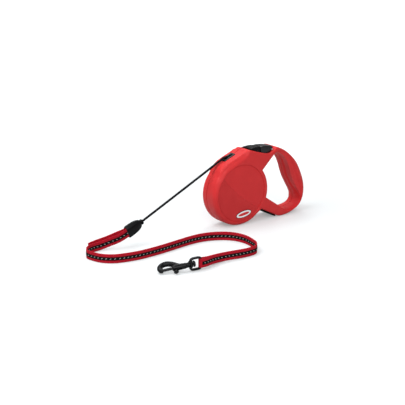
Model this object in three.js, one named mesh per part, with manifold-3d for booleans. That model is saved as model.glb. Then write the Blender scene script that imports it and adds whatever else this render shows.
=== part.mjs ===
// A retractable cord leash: a two-shell casing with a closed grip, a sprung cord spool
// with a ratchet, a brake button with its lock, and the webbing end with a bolt snap.
//
// Millimetres. The origin is the spool's axis on the casing's back face. +X points to the
// grip, -X to where the cord comes out, +Z is up, and -Y is the side of the badge face.
// The pieces are drawn with Y = 0 at mid thickness, and the group moves them at the end.
import * as THREE from "three";
import { mergeVertices } from "three/addons/utils/BufferGeometryUtils.js";
import Module from "manifold-3d";

const wasm = await Module();
wasm.setup();

// ---------------------------------------------------------------- driving dimensions

const FLOOR = -46.5; // the surface that the casing, the webbing and the snap lie on
const GAP = 0.3; // clearance between two pieces that sit on each other

// casing
const HALF = 16; // half the casing's thickness
const SEAM = 4; // Y of the parting line; the front shell is the deeper one
const WALL = 2.2;
const EDGE = 1.5; // rounding of the casing's outer edges
const DISC = 46.5; // radius of the round spool end
const PANEL = 41; // radius of the sunk panel on the badge face
const PANEL_DEPTH = 0.5;
const DECK_TILT = rad(22.5); // slope of the flat that carries the cord outlet
const SCREWS = [
  [3, 49.3],
  [68.2, 51],
  [111, -12],
  [72, -39.5],
  [46, -24],
];

// spool
const CORD = 1.4; // radius of the cord
const CORD_Y = 4; // the cord runs in this plane
const DRUM = 19;
const PACK = 37.8; // radius of the cord wound on the drum
const TEETH = 24;
const TIP = 41.5;
const ROOT = 38.6;
const TOOTH_PHASE = rad(44.8);
const SPINDLE = 3;
const ARBOR = 6.5;
const SPRING_TURNS = 5;

// brake
const KEY_HALF = 12.2; // half width of the brake button and of the lock slider
const WELL_HALF = 12.6; // half width of the opening they sit in
const BUTTON_PIVOT = [54.6, 55.2];
const PAWL_PIVOT = [14, 50.5];
const PAWL_LOW = -4.4; // the pawl and the ratchet share this stretch of Y
const PAWL_HIGH = -1.4;

// webbing and its two ends
const WEB_WIDTH = 12;
const WEB_THICK = 1.6;
const TRACER_WIDTH = 4.4;
const TRACER_THICK = 0.35;
const COUPLER_TILT = rad(156.9); // turns local +X down along the cord's line
const COUPLER_AT = [-154.5, CORD_Y, -17.4];
const COUPLER_LENGTH = 24;
const COUPLER_THICK = 9;
const COUPLER_PIN_X = 9;

// bolt snap: local +X runs from the swivel to the nose, and the ring lies in local XY
const EYE_BAR = [-147.7, -121.8]; // the bar that the webbing loops round, in X and Y
const EYE_HALF = 8.8; // half the height of the eye
const EYE_ARM = 2.6;
const EYE_LENGTH = 15; // from the bar to the base plate
const EYE_YAW = rad(7);
const EYE_Z = FLOOR + EYE_HALF + 0.2;
const SNAP_YAW = rad(20);
const SNAP_DROP = rad(7);
const SNAP_ROLL = rad(-22);
const BORE = 2.1;
const BOLT = 1.8;

const red = { color: 0xc33538, roughness: 0.42, metalness: 0 };
const black = { color: 0x121214, roughness: 0.35, metalness: 0 };
const nylon = { color: 0xd8d4cc, roughness: 0.6, metalness: 0 };
const steel = { color: 0xb8babd, roughness: 0.3, metalness: 0.9 };
const darkMetal = { color: 0x141416, roughness: 0.25, metalness: 0.6 };
const webbing = { color: 0xbe1e2d, roughness: 0.85, metalness: 0 };
const ribbon = { color: 0x0c0c0e, roughness: 0.8, metalness: 0 };
const enamel = { color: 0xe9e9ea, roughness: 0.3, metalness: 0.2 };

const leash = new THREE.Group();

// ---------------------------------------------------------------- helpers

function rad(degrees) {
  return (degrees * Math.PI) / 180;
}

// A geometry as a manifold-3d solid, for cutting and joining.
function solid(geometry) {
  const bare = geometry.clone();
  bare.deleteAttribute("normal");
  bare.deleteAttribute("uv");
  const merged = mergeVertices(bare, 1e-4);
  return new wasm.Manifold(
    new wasm.Mesh({
      numProp: 3,
      vertProperties: new Float32Array(merged.attributes.position.array),
      triVerts: new Uint32Array(merged.index.array),
    }),
  );
}

function geometryOf(body) {
  const mesh = body.getMesh();
  const geometry = new THREE.BufferGeometry();
  geometry.setAttribute("position", new THREE.BufferAttribute(mesh.vertProperties, 3));
  geometry.setIndex(new THREE.BufferAttribute(mesh.triVerts, 1));
  return geometry;
}

function add(name, shape, finish, parent = leash) {
  const geometry = shape.isBufferGeometry ? shape : geometryOf(shape);
  geometry.deleteAttribute("normal");
  geometry.computeVertexNormals();
  const mesh = new THREE.Mesh(geometry, new THREE.MeshStandardMaterial(finish));
  mesh.name = name;
  parent.add(mesh);
  return mesh;
}

// A shape drawn in X and Z, given thickness from yLow to yHigh, its edges rounded.
function slab(shape, yLow, yHigh, round = 0, curveSegments = 8) {
  const options = { depth: yHigh - yLow - 2 * round, curveSegments, bevelEnabled: round > 0 };
  Object.assign(options, { bevelThickness: round, bevelSize: round, bevelOffset: -round });
  options.bevelSegments = 1;
  const body = new THREE.ExtrudeGeometry(shape, options);
  return body.rotateX(Math.PI / 2).translate(0, yHigh - round, 0);
}

function polygon(points) {
  return new THREE.Shape(points.map(([x, z]) => new THREE.Vector2(x, z)));
}

function vectors(points) {
  return points.map(([x, z]) => new THREE.Vector2(x, z));
}

// A round bar or disc on an axis parallel to Y.
function disc(radius, yLow, yHigh, [x, z] = [0, 0], sides = 24) {
  const body = new THREE.CylinderGeometry(radius, radius, yHigh - yLow, sides);
  return body.translate(x, (yLow + yHigh) / 2, z);
}

// A ring or a stepped turned piece on the spool's axis: points are [radius, y].
function turned(points, sides = 32) {
  const closed = [...points, points[0]];
  const body = new THREE.LatheGeometry(vectors(closed), sides);
  const made = solid(body);
  return made.volume() < 0 ? flipped(body) : body;
}

// The same geometry with its faces turned round.
function flipped(geometry) {
  const index = geometry.index;
  for (let i = 0; i < index.count; i += 3) {
    const second = index.getX(i + 1);
    index.setX(i + 1, index.getX(i + 2));
    index.setX(i + 2, second);
  }
  return geometry;
}

// Moves each point of a closed outline sideways; positive shrinks a counter-clockwise one.
// Points that a tight corner would fold over are dropped.
function inset(points, distance) {
  const count = points.length;
  const moved = points.map((point, i) => {
    const before = points[(i + count - 1) % count];
    const after = points[(i + 1) % count];
    const one = new THREE.Vector2().subVectors(point, before).normalize();
    const two = new THREE.Vector2().subVectors(after, point).normalize();
    const side = new THREE.Vector2(-one.y - two.y, one.x + two.x).normalize();
    const miter = side.dot(new THREE.Vector2(-one.y, one.x));
    return point.clone().addScaledVector(side, distance / Math.max(miter, 0.5));
  });
  const spacing = (p) => Math.min(...points.map((a, i) => reach(p, a, points[(i + 1) % count])));
  return moved.filter((p) => spacing(p) > 0.96 * Math.abs(distance));
}

// The distance from a point to the stretch between two others.
function reach(point, from, to) {
  const stretch = new THREE.Vector2().subVectors(to, from);
  const step = new THREE.Vector2().subVectors(point, from);
  const share = THREE.MathUtils.clamp(step.dot(stretch) / stretch.lengthSq(), 0, 1);
  return step.addScaledVector(stretch, -share).length();
}

// The points of an outline, with the repeated last one and any doubles dropped.
function sampled(path, segments) {
  const points = path.getPoints(segments);
  return points.filter((p, i) => p.distanceTo(points[(i + 1) % points.length]) > 0.05);
}

// A helical coil along Z.
function coil(radius, wire, length, turns) {
  class Helix extends THREE.Curve {
    getPoint(t, target = new THREE.Vector3()) {
      const angle = 2 * Math.PI * turns * t;
      return target.set(radius * Math.cos(angle), radius * Math.sin(angle), length * t);
    }
  }
  const section = new THREE.Shape().absarc(0, 0, wire, 0, 2 * Math.PI);
  const options = { steps: turns * 10, curveSegments: 3, extrudePath: new Helix() };
  return new THREE.ExtrudeGeometry(section, options);
}

// Evenly spaced values from one to the other, both included.
function spaced(from, to, steps) {
  return Array.from({ length: steps + 1 }, (unused, i) => from + ((to - from) * i) / steps);
}

// A flat band along a curve, with a section at each mark: its width stays as near to
// lean(mark) as the curve allows. offset moves the band off the curve, to one side.
function band(curve, marks, lean, width, thick, offset = 0) {
  const corners = [];
  for (const t of marks) {
    const centre = curve.getPointAt(t);
    const ahead = curve.getTangentAt(t);
    const up = lean(t);
    up.addScaledVector(ahead, -up.dot(ahead)).normalize();
    const across = new THREE.Vector3().crossVectors(up, ahead);
    centre.addScaledVector(across, offset);
    for (const [u, v] of [[1, 1], [1, -1], [-1, -1], [-1, 1]]) {
      const corner = centre.clone().addScaledVector(up, (u * width) / 2);
      corners.push(...corner.addScaledVector(across, (v * thick) / 2).toArray());
    }
  }
  const faces = [0, 2, 1, 0, 3, 2];
  const last = 4 * (marks.length - 1);
  for (let start = 0; start < last; start += 4) {
    for (let k = 0; k < 4; k += 1) {
      const a = start + k;
      const b = start + ((k + 1) % 4);
      faces.push(a, b, b + 4, a, b + 4, a + 4);
    }
  }
  faces.push(last, last + 1, last + 2, last, last + 2, last + 3);
  const geometry = new THREE.BufferGeometry();
  geometry.setAttribute("position", new THREE.Float32BufferAttribute(corners, 3));
  geometry.setIndex(faces);
  return solid(geometry).volume() < 0 ? flipped(geometry) : geometry;
}

// ---------------------------------------------------------------- casing outlines

// The side view of the whole casing: the round end, the lower arm, the grip, the
// dip under the brake button and the sloping deck.
function casingOutline() {
  const outline = new THREE.Shape();
  for (let angle = 142; angle < 321; angle += 44.9) {
    outline.absarc(0, 0, DISC, rad(angle), rad(angle + 44.9), false);
  }
  outline.lineTo(64.5, -43.6);
  outline.quadraticCurveTo(70, FLOOR, 76, FLOOR);
  const grip = [[87, -46], [98, -43.4], [107.5, -39], [114.7, -31], [118.2, -20], [118.3, -8]];
  grip.push([115.2, 4.5], [110, 17], [103, 29.5], [93.5, 40], [81, 49.3], [69, 55.2], [62, 57.6]);
  outline.splineThru(vectors(grip));
  outline.splineThru(vectors([[56, 52.8], [51, 50.3], [45.5, 50.2], [38, 52], [27.5, 55.2], [17, 58.7]]));
  outline.splineThru(vectors([[13.3, 59.5], [8, 56.9], [0, 53.2], [-11, 48.8], [-21, 44.3]]));
  outline.splineThru(vectors([[-28.5, 40.2], [-32.6, 36], [-34.9, 32]]));
  return outline;
}

// The finger opening of the grip.
function openingOutline() {
  const outline = new THREE.Path();
  outline.moveTo(37.5, 27.5);
  outline.splineThru(vectors([[47.5, 37], [57, 45.4], [63, 47.8], [70.5, 45.5], [78, 39.5], [83.5, 31.5]]));
  outline.splineThru(vectors([[87.2, 23], [90.5, 13.5], [95, 3], [100.9, -7.5], [106.7, -17], [110, -24.2]]));
  outline.splineThru(vectors([[109.2, -30.2], [104.5, -35], [97, -37.5], [89, -38.4], [82, -37.6]]));
  outline.splineThru(vectors([[75, -34], [66, -28], [56, -21.2], [46.5, -14.8]]));
  outline.lineTo(DISC * Math.cos(rad(-16.9)), DISC * Math.sin(rad(-16.9)));
  outline.absarc(0, 0, DISC, rad(-16.9), rad(36.3), false);
  return outline;
}

const outer = sampled(casingOutline(), 3);
const opening = sampled(openingOutline(), 3);

// The casing before it is parted: a hollow body with walls, bosses, the button well,
// the outlet's seat and the panel already formed.
function casingBody() {
  const skin = new THREE.Shape(outer);
  skin.holes.push(new THREE.Path(opening));
  const hollow = new THREE.Shape(inset(outer, WALL));
  const way = THREE.ShapeUtils.isClockWise(opening) ? WALL : -WALL;
  hollow.holes.push(new THREE.Path(inset(opening, way)));
  let body = solid(slab(skin, -HALF, HALF, EDGE));
  body = body.subtract(solid(slab(hollow, -HALF + WALL, HALF - WALL)));
  body = body.subtract(solid(disc(PANEL, -HALF - 1, -HALF + PANEL_DEPTH, [0, 0], 40)));
  for (const at of SCREWS) {
    const boss = solid(disc(3, -HALF + WALL - 0.2, HALF - WALL + 0.2, at, 12));
    body = body.add(boss);
  }
  body = body.add(solid(disc(6, HALF - WALL - 1.2, HALF - 1, [0, 0], 24)));
  body = body.subtract(solid(disc(SPINDLE + 0.3, HALF - WALL - 2, HALF - WALL, [0, 0], 24)));
  const well = polygon([[20.2, 70], [20.2, 53], [36, 44], [54.4, 44], [55.4, 52.4], [59, 58], [62, 70]]);
  body = body.subtract(solid(slab(well, -WELL_HALF, WELL_HALF)));
  body = body.subtract(solid(outletBlock(GAP)));
  for (const at of SCREWS) {
    body = body.subtract(solid(disc(1.4, -9, HALF + 1, at, 10)));
    body = body.subtract(solid(disc(2.9, HALF - 3.1, HALF + 1, at, 12)));
  }
  for (const [x, z] of [BUTTON_PIVOT, PAWL_PIVOT]) {
    body = body.subtract(solid(disc(1.25, -HALF + 1.2, HALF - 1.2, [x, z], 10)));
  }
  return body.subtract(solid(badgePlate(0.3, -HALF, -HALF + PANEL_DEPTH + 0.6)));
}

// A box that keeps one side of the parting line.
function side(yLow, yHigh) {
  const box = new THREE.BoxGeometry(400, yHigh - yLow, 400);
  return solid(box.translate(0, (yLow + yHigh) / 2, 0));
}

// The seat for the cord outlet, or with grow 0 the outlet's own block.
function outletBlock(grow) {
  const block = new THREE.BoxGeometry(20 + 2 * grow, 9.6 + 2 * grow, 4 + grow);
  return block.rotateY(-DECK_TILT).translate(-8.9, CORD_Y, 48.3);
}

function badgePlate(grow, yLow, yHigh) {
  const oval = new THREE.Shape();
  oval.absellipse(0, 0, 13.5 + grow, 5 + grow, 0, 2 * Math.PI, false, 0);
  const plate = slab(oval, yLow, yHigh, 0, 12);
  return plate.rotateY(-rad(7)).translate(4, 0, -30.5);
}

// ---------------------------------------------------------------- casing pieces

const casing = casingBody();
add("front_shell", casing.intersect(side(-HALF - 2, SEAM - GAP / 2)), red);
add("rear_shell", casing.intersect(side(SEAM + GAP / 2, HALF + 2)), red);
add("badge", badgePlate(0, -HALF + 0.1, -HALF + PANEL_DEPTH + 0.4), enamel);

SCREWS.forEach((at, i) => {
  const head = solid(disc(2.5, HALF - 2.9, HALF - 0.8, at, 16));
  const shank = solid(disc(1.1, -8, HALF - 2.8, at, 12));
  const cross = new THREE.BoxGeometry(3, 1, 0.8).translate(at[0], HALF - 1, at[1]);
  add(`housing_screw_${i + 1}`, head.add(shank).subtract(solid(cross)), steel);
});

// The outlet: a glossy block with a long slot, sunk in the deck across the parting line.
{
  const slot = new THREE.BoxGeometry(13, 4.2, 9).rotateY(-DECK_TILT);
  slot.translate(-8.4, CORD_Y, 48.5);
  add("cord_outlet", solid(outletBlock(0)).subtract(solid(slot)), black);
}

// A rubber pad under the lower arm.
{
  const pad = polygon([[52.2, -37.7], [64.2, -44], [64.4, -45.9], [58, -42.9], [52, -39.7]]);
  add("handle_foot", slab(pad, -11, 11, 0.4), ribbon);
}

add("spindle", disc(SPINDLE, -HALF + WALL + GAP, HALF - WALL - GAP, [0, 0], 24), steel);
add("button_pin", disc(0.95, -HALF + 1.5, HALF - 1.5, BUTTON_PIVOT, 12), steel);
add("pawl_pin", disc(0.95, -HALF + 1.5, HALF - 1.5, PAWL_PIVOT, 12), steel);

// ---------------------------------------------------------------- spool

// The ratchet: each tooth drops straight on the side that leads as the cord pays out.
function ratchetShape() {
  const points = [];
  for (let i = 0; i < TEETH; i += 1) {
    const start = TOOTH_PHASE + (2 * Math.PI * i) / TEETH;
    points.push([TIP * Math.cos(start), TIP * Math.sin(start)]);
    points.push([ROOT * Math.cos(start + rad(0.5)), ROOT * Math.sin(start + rad(0.5))]);
  }
  const shape = polygon(points);
  shape.holes.push(new THREE.Path().absarc(0, 0, 30, 0, 2 * Math.PI, true));
  return shape;
}

// A flat spiral ribbon between two radii, drawn in X and Z.
function spiralShape(inner, outerRadius, turns, thick) {
  const there = [];
  const back = [];
  const steps = turns * 18;
  for (let i = 0; i <= steps; i += 1) {
    const angle = (2 * Math.PI * turns * i) / steps;
    const radius = inner + ((outerRadius - inner) * i) / steps;
    there.push([radius * Math.cos(angle), radius * Math.sin(angle)]);
    back.push([(radius + thick) * Math.cos(angle), (radius + thick) * Math.sin(angle)]);
  }
  return polygon([...there, ...back.reverse()]);
}

{
  const profile = [[4.8, PAWL_LOW], [36.8, PAWL_LOW], [36.8, -12.4], [38.4, -12.4], [38.4, PAWL_HIGH]];
  profile.push([DRUM, PAWL_HIGH], [DRUM, 10.9], [TIP, 10.9], [TIP, 12.1], [DRUM - 2, 12.1]);
  profile.push([DRUM - 2, PAWL_HIGH], [7.2, PAWL_HIGH], [7.2, 12.1], [4.8, 12.1]);
  const body = solid(turned(profile, 36));
  add("spool", body.add(solid(slab(ratchetShape(), PAWL_LOW, PAWL_HIGH, 0, 16))), nylon);
}
add("spool_cover", turned([[9, -12.2], [36.3, -12.2], [36.3, -11.4], [9, -11.4]], 32), nylon);
add("spool_bush", turned([[3.3, PAWL_LOW], [4.5, PAWL_LOW], [4.5, 12.1], [3.3, 12.1]], 24), steel);
add("wound_cord", turned([[DRUM + 0.4, -1], [PACK, -1], [PACK, 10.5], [DRUM + 0.4, 10.5]], 36), ribbon);
add("spring_arbor", turned([[3.3, -13.4], [ARBOR, -13.4], [ARBOR, -4.8], [3.3, -4.8]], 24), steel);
add("mainspring", slab(spiralShape(ARBOR + 0.4, 35.4, SPRING_TURNS, 0.8), -11, -4.8), steel);

// ---------------------------------------------------------------- brake

{
  const key = polygon([
    [35.9, 61.3], [36.2, 50], [40, 47.2], [49, 47.6], [52.4, 50.2], [56.9, 56.2],
    [58, 58.9], [54.4, 59.8], [47, 61.2], [40, 61.9],
  ]);
  const body = solid(slab(key, -KEY_HALF, KEY_HALF, 0.8));
  const hole = solid(disc(1.2, -HALF, HALF, BUTTON_PIVOT, 16));
  add("brake_button", body.subtract(hole), black);
}
{
  const nose = [[18.4, 59.9], [24.6, 57.1], [24.6, 52.6], [34.4, 50.4], [34.4, 57]];
  const slider = polygon([...nose, [33.8, 61.6], [28, 62.3], [22.5, 62]]);
  add("lock_slider", slab(slider, -KEY_HALF, KEY_HALF, 0.6), black);
}
{
  const lever = polygon([
    [11, 48.6], [27, 36.5], [29.3, 30], [33.5, 35.5], [41.3, 44], [41, 46.3], [37, 46.6], [16, 53.8], [12, 53.4],
  ]);
  const hole = solid(disc(1.2, -HALF, HALF, PAWL_PIVOT, 16));
  add("brake_pawl", solid(slab(lever, PAWL_LOW, PAWL_HIGH)).subtract(hole), steel);
}
add("button_spring", coil(2.6, 0.45, 5, 3).translate(45.2, 5, 41.7), steel);

// ---------------------------------------------------------------- cord

// The outer run starts where the cord leaves the pack, climbs through the outlet, and
// bends over its lip down to the coupler.
{
  const leave = rad(64.8);
  const start = PACK + CORD + 0.45;
  const path = new THREE.CurvePath();
  const at = (x, z) => new THREE.Vector3(x, CORD_Y, z);
  const bend = [at(-5.6, 47.6), at(-9.4, 49.4), at(-12.8, 50.3), at(-16.6, 49.6), at(-21, 47.6)];
  path.add(new THREE.LineCurve3(at(start * Math.cos(leave), start * Math.sin(leave)), bend[0]));
  path.add(new THREE.CatmullRomCurve3(bend));
  path.add(new THREE.LineCurve3(bend[4], at(COUPLER_AT[0] + 3.4, COUPLER_AT[2] + 1.7)));
  const section = new THREE.Shape().absarc(0, 0, CORD, 0, 2 * Math.PI);
  add("cord", new THREE.ExtrudeGeometry(section, { steps: 44, curveSegments: 4, extrudePath: path }), ribbon);
}

// ---------------------------------------------------------------- coupler

// The coupler joins the cord to the webbing: two half shells round a knot and a pin.
{
  const coupler = new THREE.Group();
  coupler.position.set(...COUPLER_AT);
  coupler.rotation.y = COUPLER_TILT;
  leash.add(coupler);
  const half = COUPLER_THICK / 2;
  const edge = [[0, 3.4], [2, 5.6], [6, 7.2], [12, 8.2], [18, 8.6], [COUPLER_LENGTH, 8.6]];
  const shell = new THREE.Shape(vectors(edge.map(([x, z]) => [x, -z])).concat(vectors([...edge].reverse())));
  const pocket = new THREE.BoxGeometry(COUPLER_LENGTH, 7, 13.2).translate(5.5 + COUPLER_LENGTH / 2, 0, 0);
  const knotPocket = disc(2.4, -2.4, 2.4, [3.4, 0], 16);
  const duct = new THREE.BoxGeometry(12, 3.4, 3.4);
  let body = solid(slab(shell, -half, half, 1.2)).subtract(solid(pocket));
  body = body.subtract(solid(knotPocket)).subtract(solid(duct));
  const pinHole = new THREE.CylinderGeometry(1.15, 1.15, 15.4, 12).rotateX(Math.PI / 2);
  body = body.subtract(solid(pinHole.translate(COUPLER_PIN_X, 0, 0)));
  add("coupler_front", body.intersect(side(-10, -GAP / 2)), black, coupler);
  add("coupler_rear", body.intersect(side(GAP / 2, 10)), black, coupler);
  const pin = new THREE.CylinderGeometry(0.9, 0.9, 14.8, 12).rotateX(Math.PI / 2);
  add("coupler_pin", pin.translate(COUPLER_PIN_X, 0, 0), steel, coupler);
  add("cord_knot", new THREE.SphereGeometry(2, 12, 8).translate(3.4, 0, 0), ribbon, coupler);
  const collar = turned([[CORD + 0.5, -3.4], [3.2, -3.4], [4.2, -2], [4.2, -0.4], [CORD + 0.5, -0.4]], 20);
  add("cord_collar", collar.rotateZ(-Math.PI / 2), black, coupler);
}

// ---------------------------------------------------------------- webbing

// The webbing's middle line: a sewn tail, round the coupler's pin, down to the floor,
// round in a wide loop on its edge, round the eye's bar, and a second sewn tail.
const onFloor = FLOOR + WEB_WIDTH / 2 + 0.2;
const [barX, barY] = EYE_BAR;
const barTurn = 1.6 + 0.35 + WEB_THICK / 2;
const pinTurn = 0.9 + 0.35 + WEB_THICK / 2;
const atCoupler = (x, y) => {
  const spot = new THREE.Vector3(x, y, 0).applyAxisAngle(new THREE.Vector3(0, 1, 0), COUPLER_TILT);
  return spot.add(new THREE.Vector3(...COUPLER_AT));
};
const flat = (x, y, lift = 0) => new THREE.Vector3(x, y, onFloor + lift);
const barLift = EYE_Z - onFloor;
const halfTurn = [90, 60, 30, 0, -30, -60, -90].map(rad);
const roundPin = halfTurn.map((a) => (
  atCoupler(COUPLER_PIN_X - pinTurn * Math.cos(a), pinTurn * Math.sin(a))
));
const roundBar = halfTurn.map((a) => (
  flat(barX - barTurn * Math.cos(a), barY - barTurn * Math.sin(a), barLift)
));
const webPath = new THREE.CatmullRomCurve3(
  [
    flat(-235.4, 8, 0), flat(-227, 13.1, 1.2), flat(-214, 14.2, 3.1),
    new THREE.Vector3(-201, 11, -34), new THREE.Vector3(-189.5, 8, -30.4),
    atCoupler(25, pinTurn + 0.1), atCoupler(14, pinTurn),
    ...roundPin,
    atCoupler(14, -pinTurn), atCoupler(25, -pinTurn),
    new THREE.Vector3(-188, 4.5, -32.6), new THREE.Vector3(-200, 8.3, -36.4), flat(-213, 11.5, 0.4),
    flat(-226, 10.3), flat(-236.2, 4.3), flat(-242, -6), flat(-239.7, -19.5),
    flat(-234.5, -30.8), flat(-223.5, -40.5), flat(-208, -45.5), flat(-190, -48),
    flat(-165.5, -47.2), flat(-145, -45), flat(-124, -42), flat(-103, -39.5),
    flat(-84, -40.2), flat(-68, -45.5), flat(-55, -54.5), flat(-47.5, -65.5),
    flat(-44, -80), flat(-45.5, -95), flat(-49.5, -109), flat(-58, -118.5),
    flat(-70, -121), flat(-84, -120.3, 0.2), flat(-100, -118.4, 0.6), flat(-117, -117.7, 1),
    flat(-130, -120.4, 1.9), flat(-141, -124.2, 2.7),
    ...roundBar,
    flat(-140, -119.8, 2.2), flat(-129, -117.2, 0.9), flat(-118, -115.3, 0.1), flat(-109, -115.6),
  ],
  false,
  "centripetal",
);
webPath.arcLengthDivisions = 2000;
const webMarks = [...spaced(0, 0.12, 14), ...spaced(0.126, 0.1425, 14), ...spaced(0.15, 0.91, 84)];
webMarks.push(...spaced(0.918, 0.94, 14), ...spaced(0.95, 1, 6));
const pinAxis = new THREE.Vector3(-Math.sin(COUPLER_TILT), 0, -Math.cos(COUPLER_TILT));
const webLean = (t) => {
  const share = THREE.MathUtils.smoothstep(t, 0.16, 0.235);
  return pinAxis.clone().lerp(new THREE.Vector3(0, 0, 1), share);
};
add("webbing", band(webPath, webMarks, webLean, WEB_WIDTH, WEB_THICK), webbing);
const tracerOff = WEB_THICK / 2 + 0.12 + TRACER_THICK / 2;
const tracers = [["tracer_outer", 0.151, 0.921, tracerOff], ["tracer_inner", 0.285, 0.845, -tracerOff]];
for (const [name, first, last, offset] of tracers) {
  const marks = webMarks.filter((t) => t > first && t < last);
  add(name, band(webPath, marks, webLean, TRACER_WIDTH, TRACER_THICK, offset), ribbon);
}

// ---------------------------------------------------------------- bolt snap

// The eye: a flat D that hangs from the webbing's loop by its bar.
const eye = new THREE.Group();
eye.position.set(barX, barY, EYE_Z);
eye.rotation.z = Math.PI - EYE_YAW;
leash.add(eye);
{
  const far = EYE_LENGTH + 1.8;
  const frame = new THREE.Shape();
  frame.moveTo(-1.6, -EYE_HALF);
  frame.lineTo(far - 5, -EYE_HALF);
  frame.quadraticCurveTo(far, -EYE_HALF, far, -5);
  frame.lineTo(far, 5);
  frame.quadraticCurveTo(far, EYE_HALF, far - 5, EYE_HALF);
  frame.lineTo(-1.6, EYE_HALF);
  const high = EYE_HALF - EYE_ARM;
  frame.holes.push(polygon([[-3, -high], [far - 3.4, -high], [far - 3.4, high], [-3, high]]));
  const arms = new THREE.Shape(frame.getPoints(6));
  let body = solid(slab(arms, -1.7, 1.7, 0.5));
  const window = new THREE.BoxGeometry(far - 3.4 + 5, 10, 2 * high).translate((far - 3.4 - 5) / 2, 0, 0);
  body = body.subtract(solid(window));
  const bar = new THREE.CylinderGeometry(1.6, 1.6, 2 * EYE_HALF - 2, 16).rotateX(Math.PI / 2);
  const plate = new THREE.CylinderGeometry(4.8, 4.8, 3, 20).rotateZ(Math.PI / 2);
  body = body.add(solid(bar)).add(solid(plate.translate(EYE_LENGTH, 0, 0)));
  const hole = new THREE.CylinderGeometry(2.5, 2.5, 12, 20).rotateZ(Math.PI / 2);
  add("swivel_eye", body.subtract(solid(hole.translate(EYE_LENGTH, 0, 0))), darkMetal, eye);
}

// The snap itself: a stud in the eye, a barrel that holds the sprung bolt, and a ring
// that the bolt closes.
const snap = new THREE.Group();
snap.position.set(EYE_LENGTH, 0, 0);
snap.rotation.order = "ZYX";
snap.rotation.set(SNAP_ROLL, SNAP_DROP, -(SNAP_YAW - EYE_YAW));
eye.add(snap);

// A turned piece along local X: points are [radius, x].
function along(points, sides = 20) {
  return turned(points, sides).rotateZ(-Math.PI / 2);
}

{
  const barrel = along([[0.01, 2.6], [3.1, 2.6], [3.3, 5], [3.7, 10], [3.9, 17], [3.6, 23], [0.01, 23]]);
  const curve = new THREE.CatmullRomCurve3([
    new THREE.Vector3(12, -1.2, 0), new THREE.Vector3(17, -4.2, 0), new THREE.Vector3(22.5, -8.4, 0),
    new THREE.Vector3(29.5, -10.6, 0), new THREE.Vector3(36.3, -8.6, 0), new THREE.Vector3(39.8, -4, 0),
    new THREE.Vector3(38.4, 0, 0), new THREE.Vector3(35.8, 0.5, 0),
  ]);
  const section = new THREE.Shape().absarc(0, 0, 2.4, 0, 2 * Math.PI);
  const options = { steps: 24, curveSegments: 6, extrudePath: curve };
  let body = solid(barrel).add(solid(new THREE.ExtrudeGeometry(section, options)));
  const bore = new THREE.CylinderGeometry(BORE, BORE, 20, 16).rotateZ(Math.PI / 2).translate(15.5, 0, 0);
  const socket = new THREE.CylinderGeometry(BORE, BORE, 6, 16).rotateZ(Math.PI / 2).translate(33.6, 0, 0);
  const slit = new THREE.BoxGeometry(9.4, 6, 2.4).translate(16.9, 4, 0);
  body = body.subtract(solid(bore)).subtract(solid(slit)).subtract(solid(socket));
  const studBore = new THREE.CylinderGeometry(1.9, 1.9, 2, 16).rotateZ(Math.PI / 2).translate(3.1, 0, 0);
  add("snap_body", body.subtract(solid(studBore)), darkMetal, snap);
  const stud = [[0.01, -6], [3.6, -6], [4, -4.6], [3.6, -3], [1.6, -3], [1.6, 3.8], [0.01, 3.8]];
  add("swivel_stud", along(stud, 16), darkMetal, snap);
  const bolt = along([[0.01, 12.6], [BOLT, 12.6], [BOLT, 35.2], [1.3, 35.9], [0.01, 35.9]], 16);
  const stem = new THREE.CylinderGeometry(0.9, 0.9, 5, 12).translate(20, 3.3, 0);
  add("snap_bolt", solid(bolt).add(solid(stem)), darkMetal, snap);
  const knob = turned([[0.01, 6], [2.2, 6], [3, 6.3], [3, 7.5], [2.4, 8.4], [0.01, 8.4]], 20);
  add("bolt_knob", knob.translate(20, 0, 0), darkMetal, snap);
  const spring = coil(1.35, 0.3, 6.2, 4).rotateY(Math.PI / 2);
  add("bolt_spring", spring.translate(5.9, 0, 0), steel, snap);
}

const part = new THREE.Group();
leash.position.y = -HALF;
part.add(leash);

export default part;
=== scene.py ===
"""The looks of a retractable cord leash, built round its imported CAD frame.

Lengths are written in millimetres and scaled to metres when a mesh is made: +X to the
grip, -X to where the cord leaves, +Z up, -Y the badge face. The pieces are drawn with
Y = 0 at mid thickness and moved to the frame, whose Y = 0 is the back face, when named.
"""

import math
from contextlib import contextmanager

import bmesh
import bpy
import numpy as np
from mathutils import Matrix, Vector
from mathutils.geometry import delaunay_2d_cdt


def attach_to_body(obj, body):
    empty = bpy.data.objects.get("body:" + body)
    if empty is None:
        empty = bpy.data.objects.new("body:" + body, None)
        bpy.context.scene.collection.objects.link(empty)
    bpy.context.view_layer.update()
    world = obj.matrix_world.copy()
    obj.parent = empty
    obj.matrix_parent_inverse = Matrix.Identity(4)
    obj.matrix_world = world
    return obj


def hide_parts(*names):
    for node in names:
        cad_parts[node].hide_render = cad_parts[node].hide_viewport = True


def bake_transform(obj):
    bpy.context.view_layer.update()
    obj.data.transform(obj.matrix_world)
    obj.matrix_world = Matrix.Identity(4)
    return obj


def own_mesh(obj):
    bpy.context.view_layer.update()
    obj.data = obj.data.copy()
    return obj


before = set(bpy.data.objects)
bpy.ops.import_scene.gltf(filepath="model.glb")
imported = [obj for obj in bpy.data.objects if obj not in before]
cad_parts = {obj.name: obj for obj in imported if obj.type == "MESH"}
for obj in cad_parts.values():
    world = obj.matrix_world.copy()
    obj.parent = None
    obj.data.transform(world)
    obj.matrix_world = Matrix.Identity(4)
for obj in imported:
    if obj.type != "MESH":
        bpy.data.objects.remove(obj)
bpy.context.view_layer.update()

MM = 0.001
FLOOR = -46.5
HALF = 16.0  # half the casing's thickness
SEAM = 4.0  # where the two shells meet
DISC = 46.5
PANEL_GROOVE = (39.9, 40.3, 40.6, 41.0)  # radii of the groove's start, floor and end
PANEL_STEP = 40.8  # radius where the panel's sunk face ends
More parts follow.
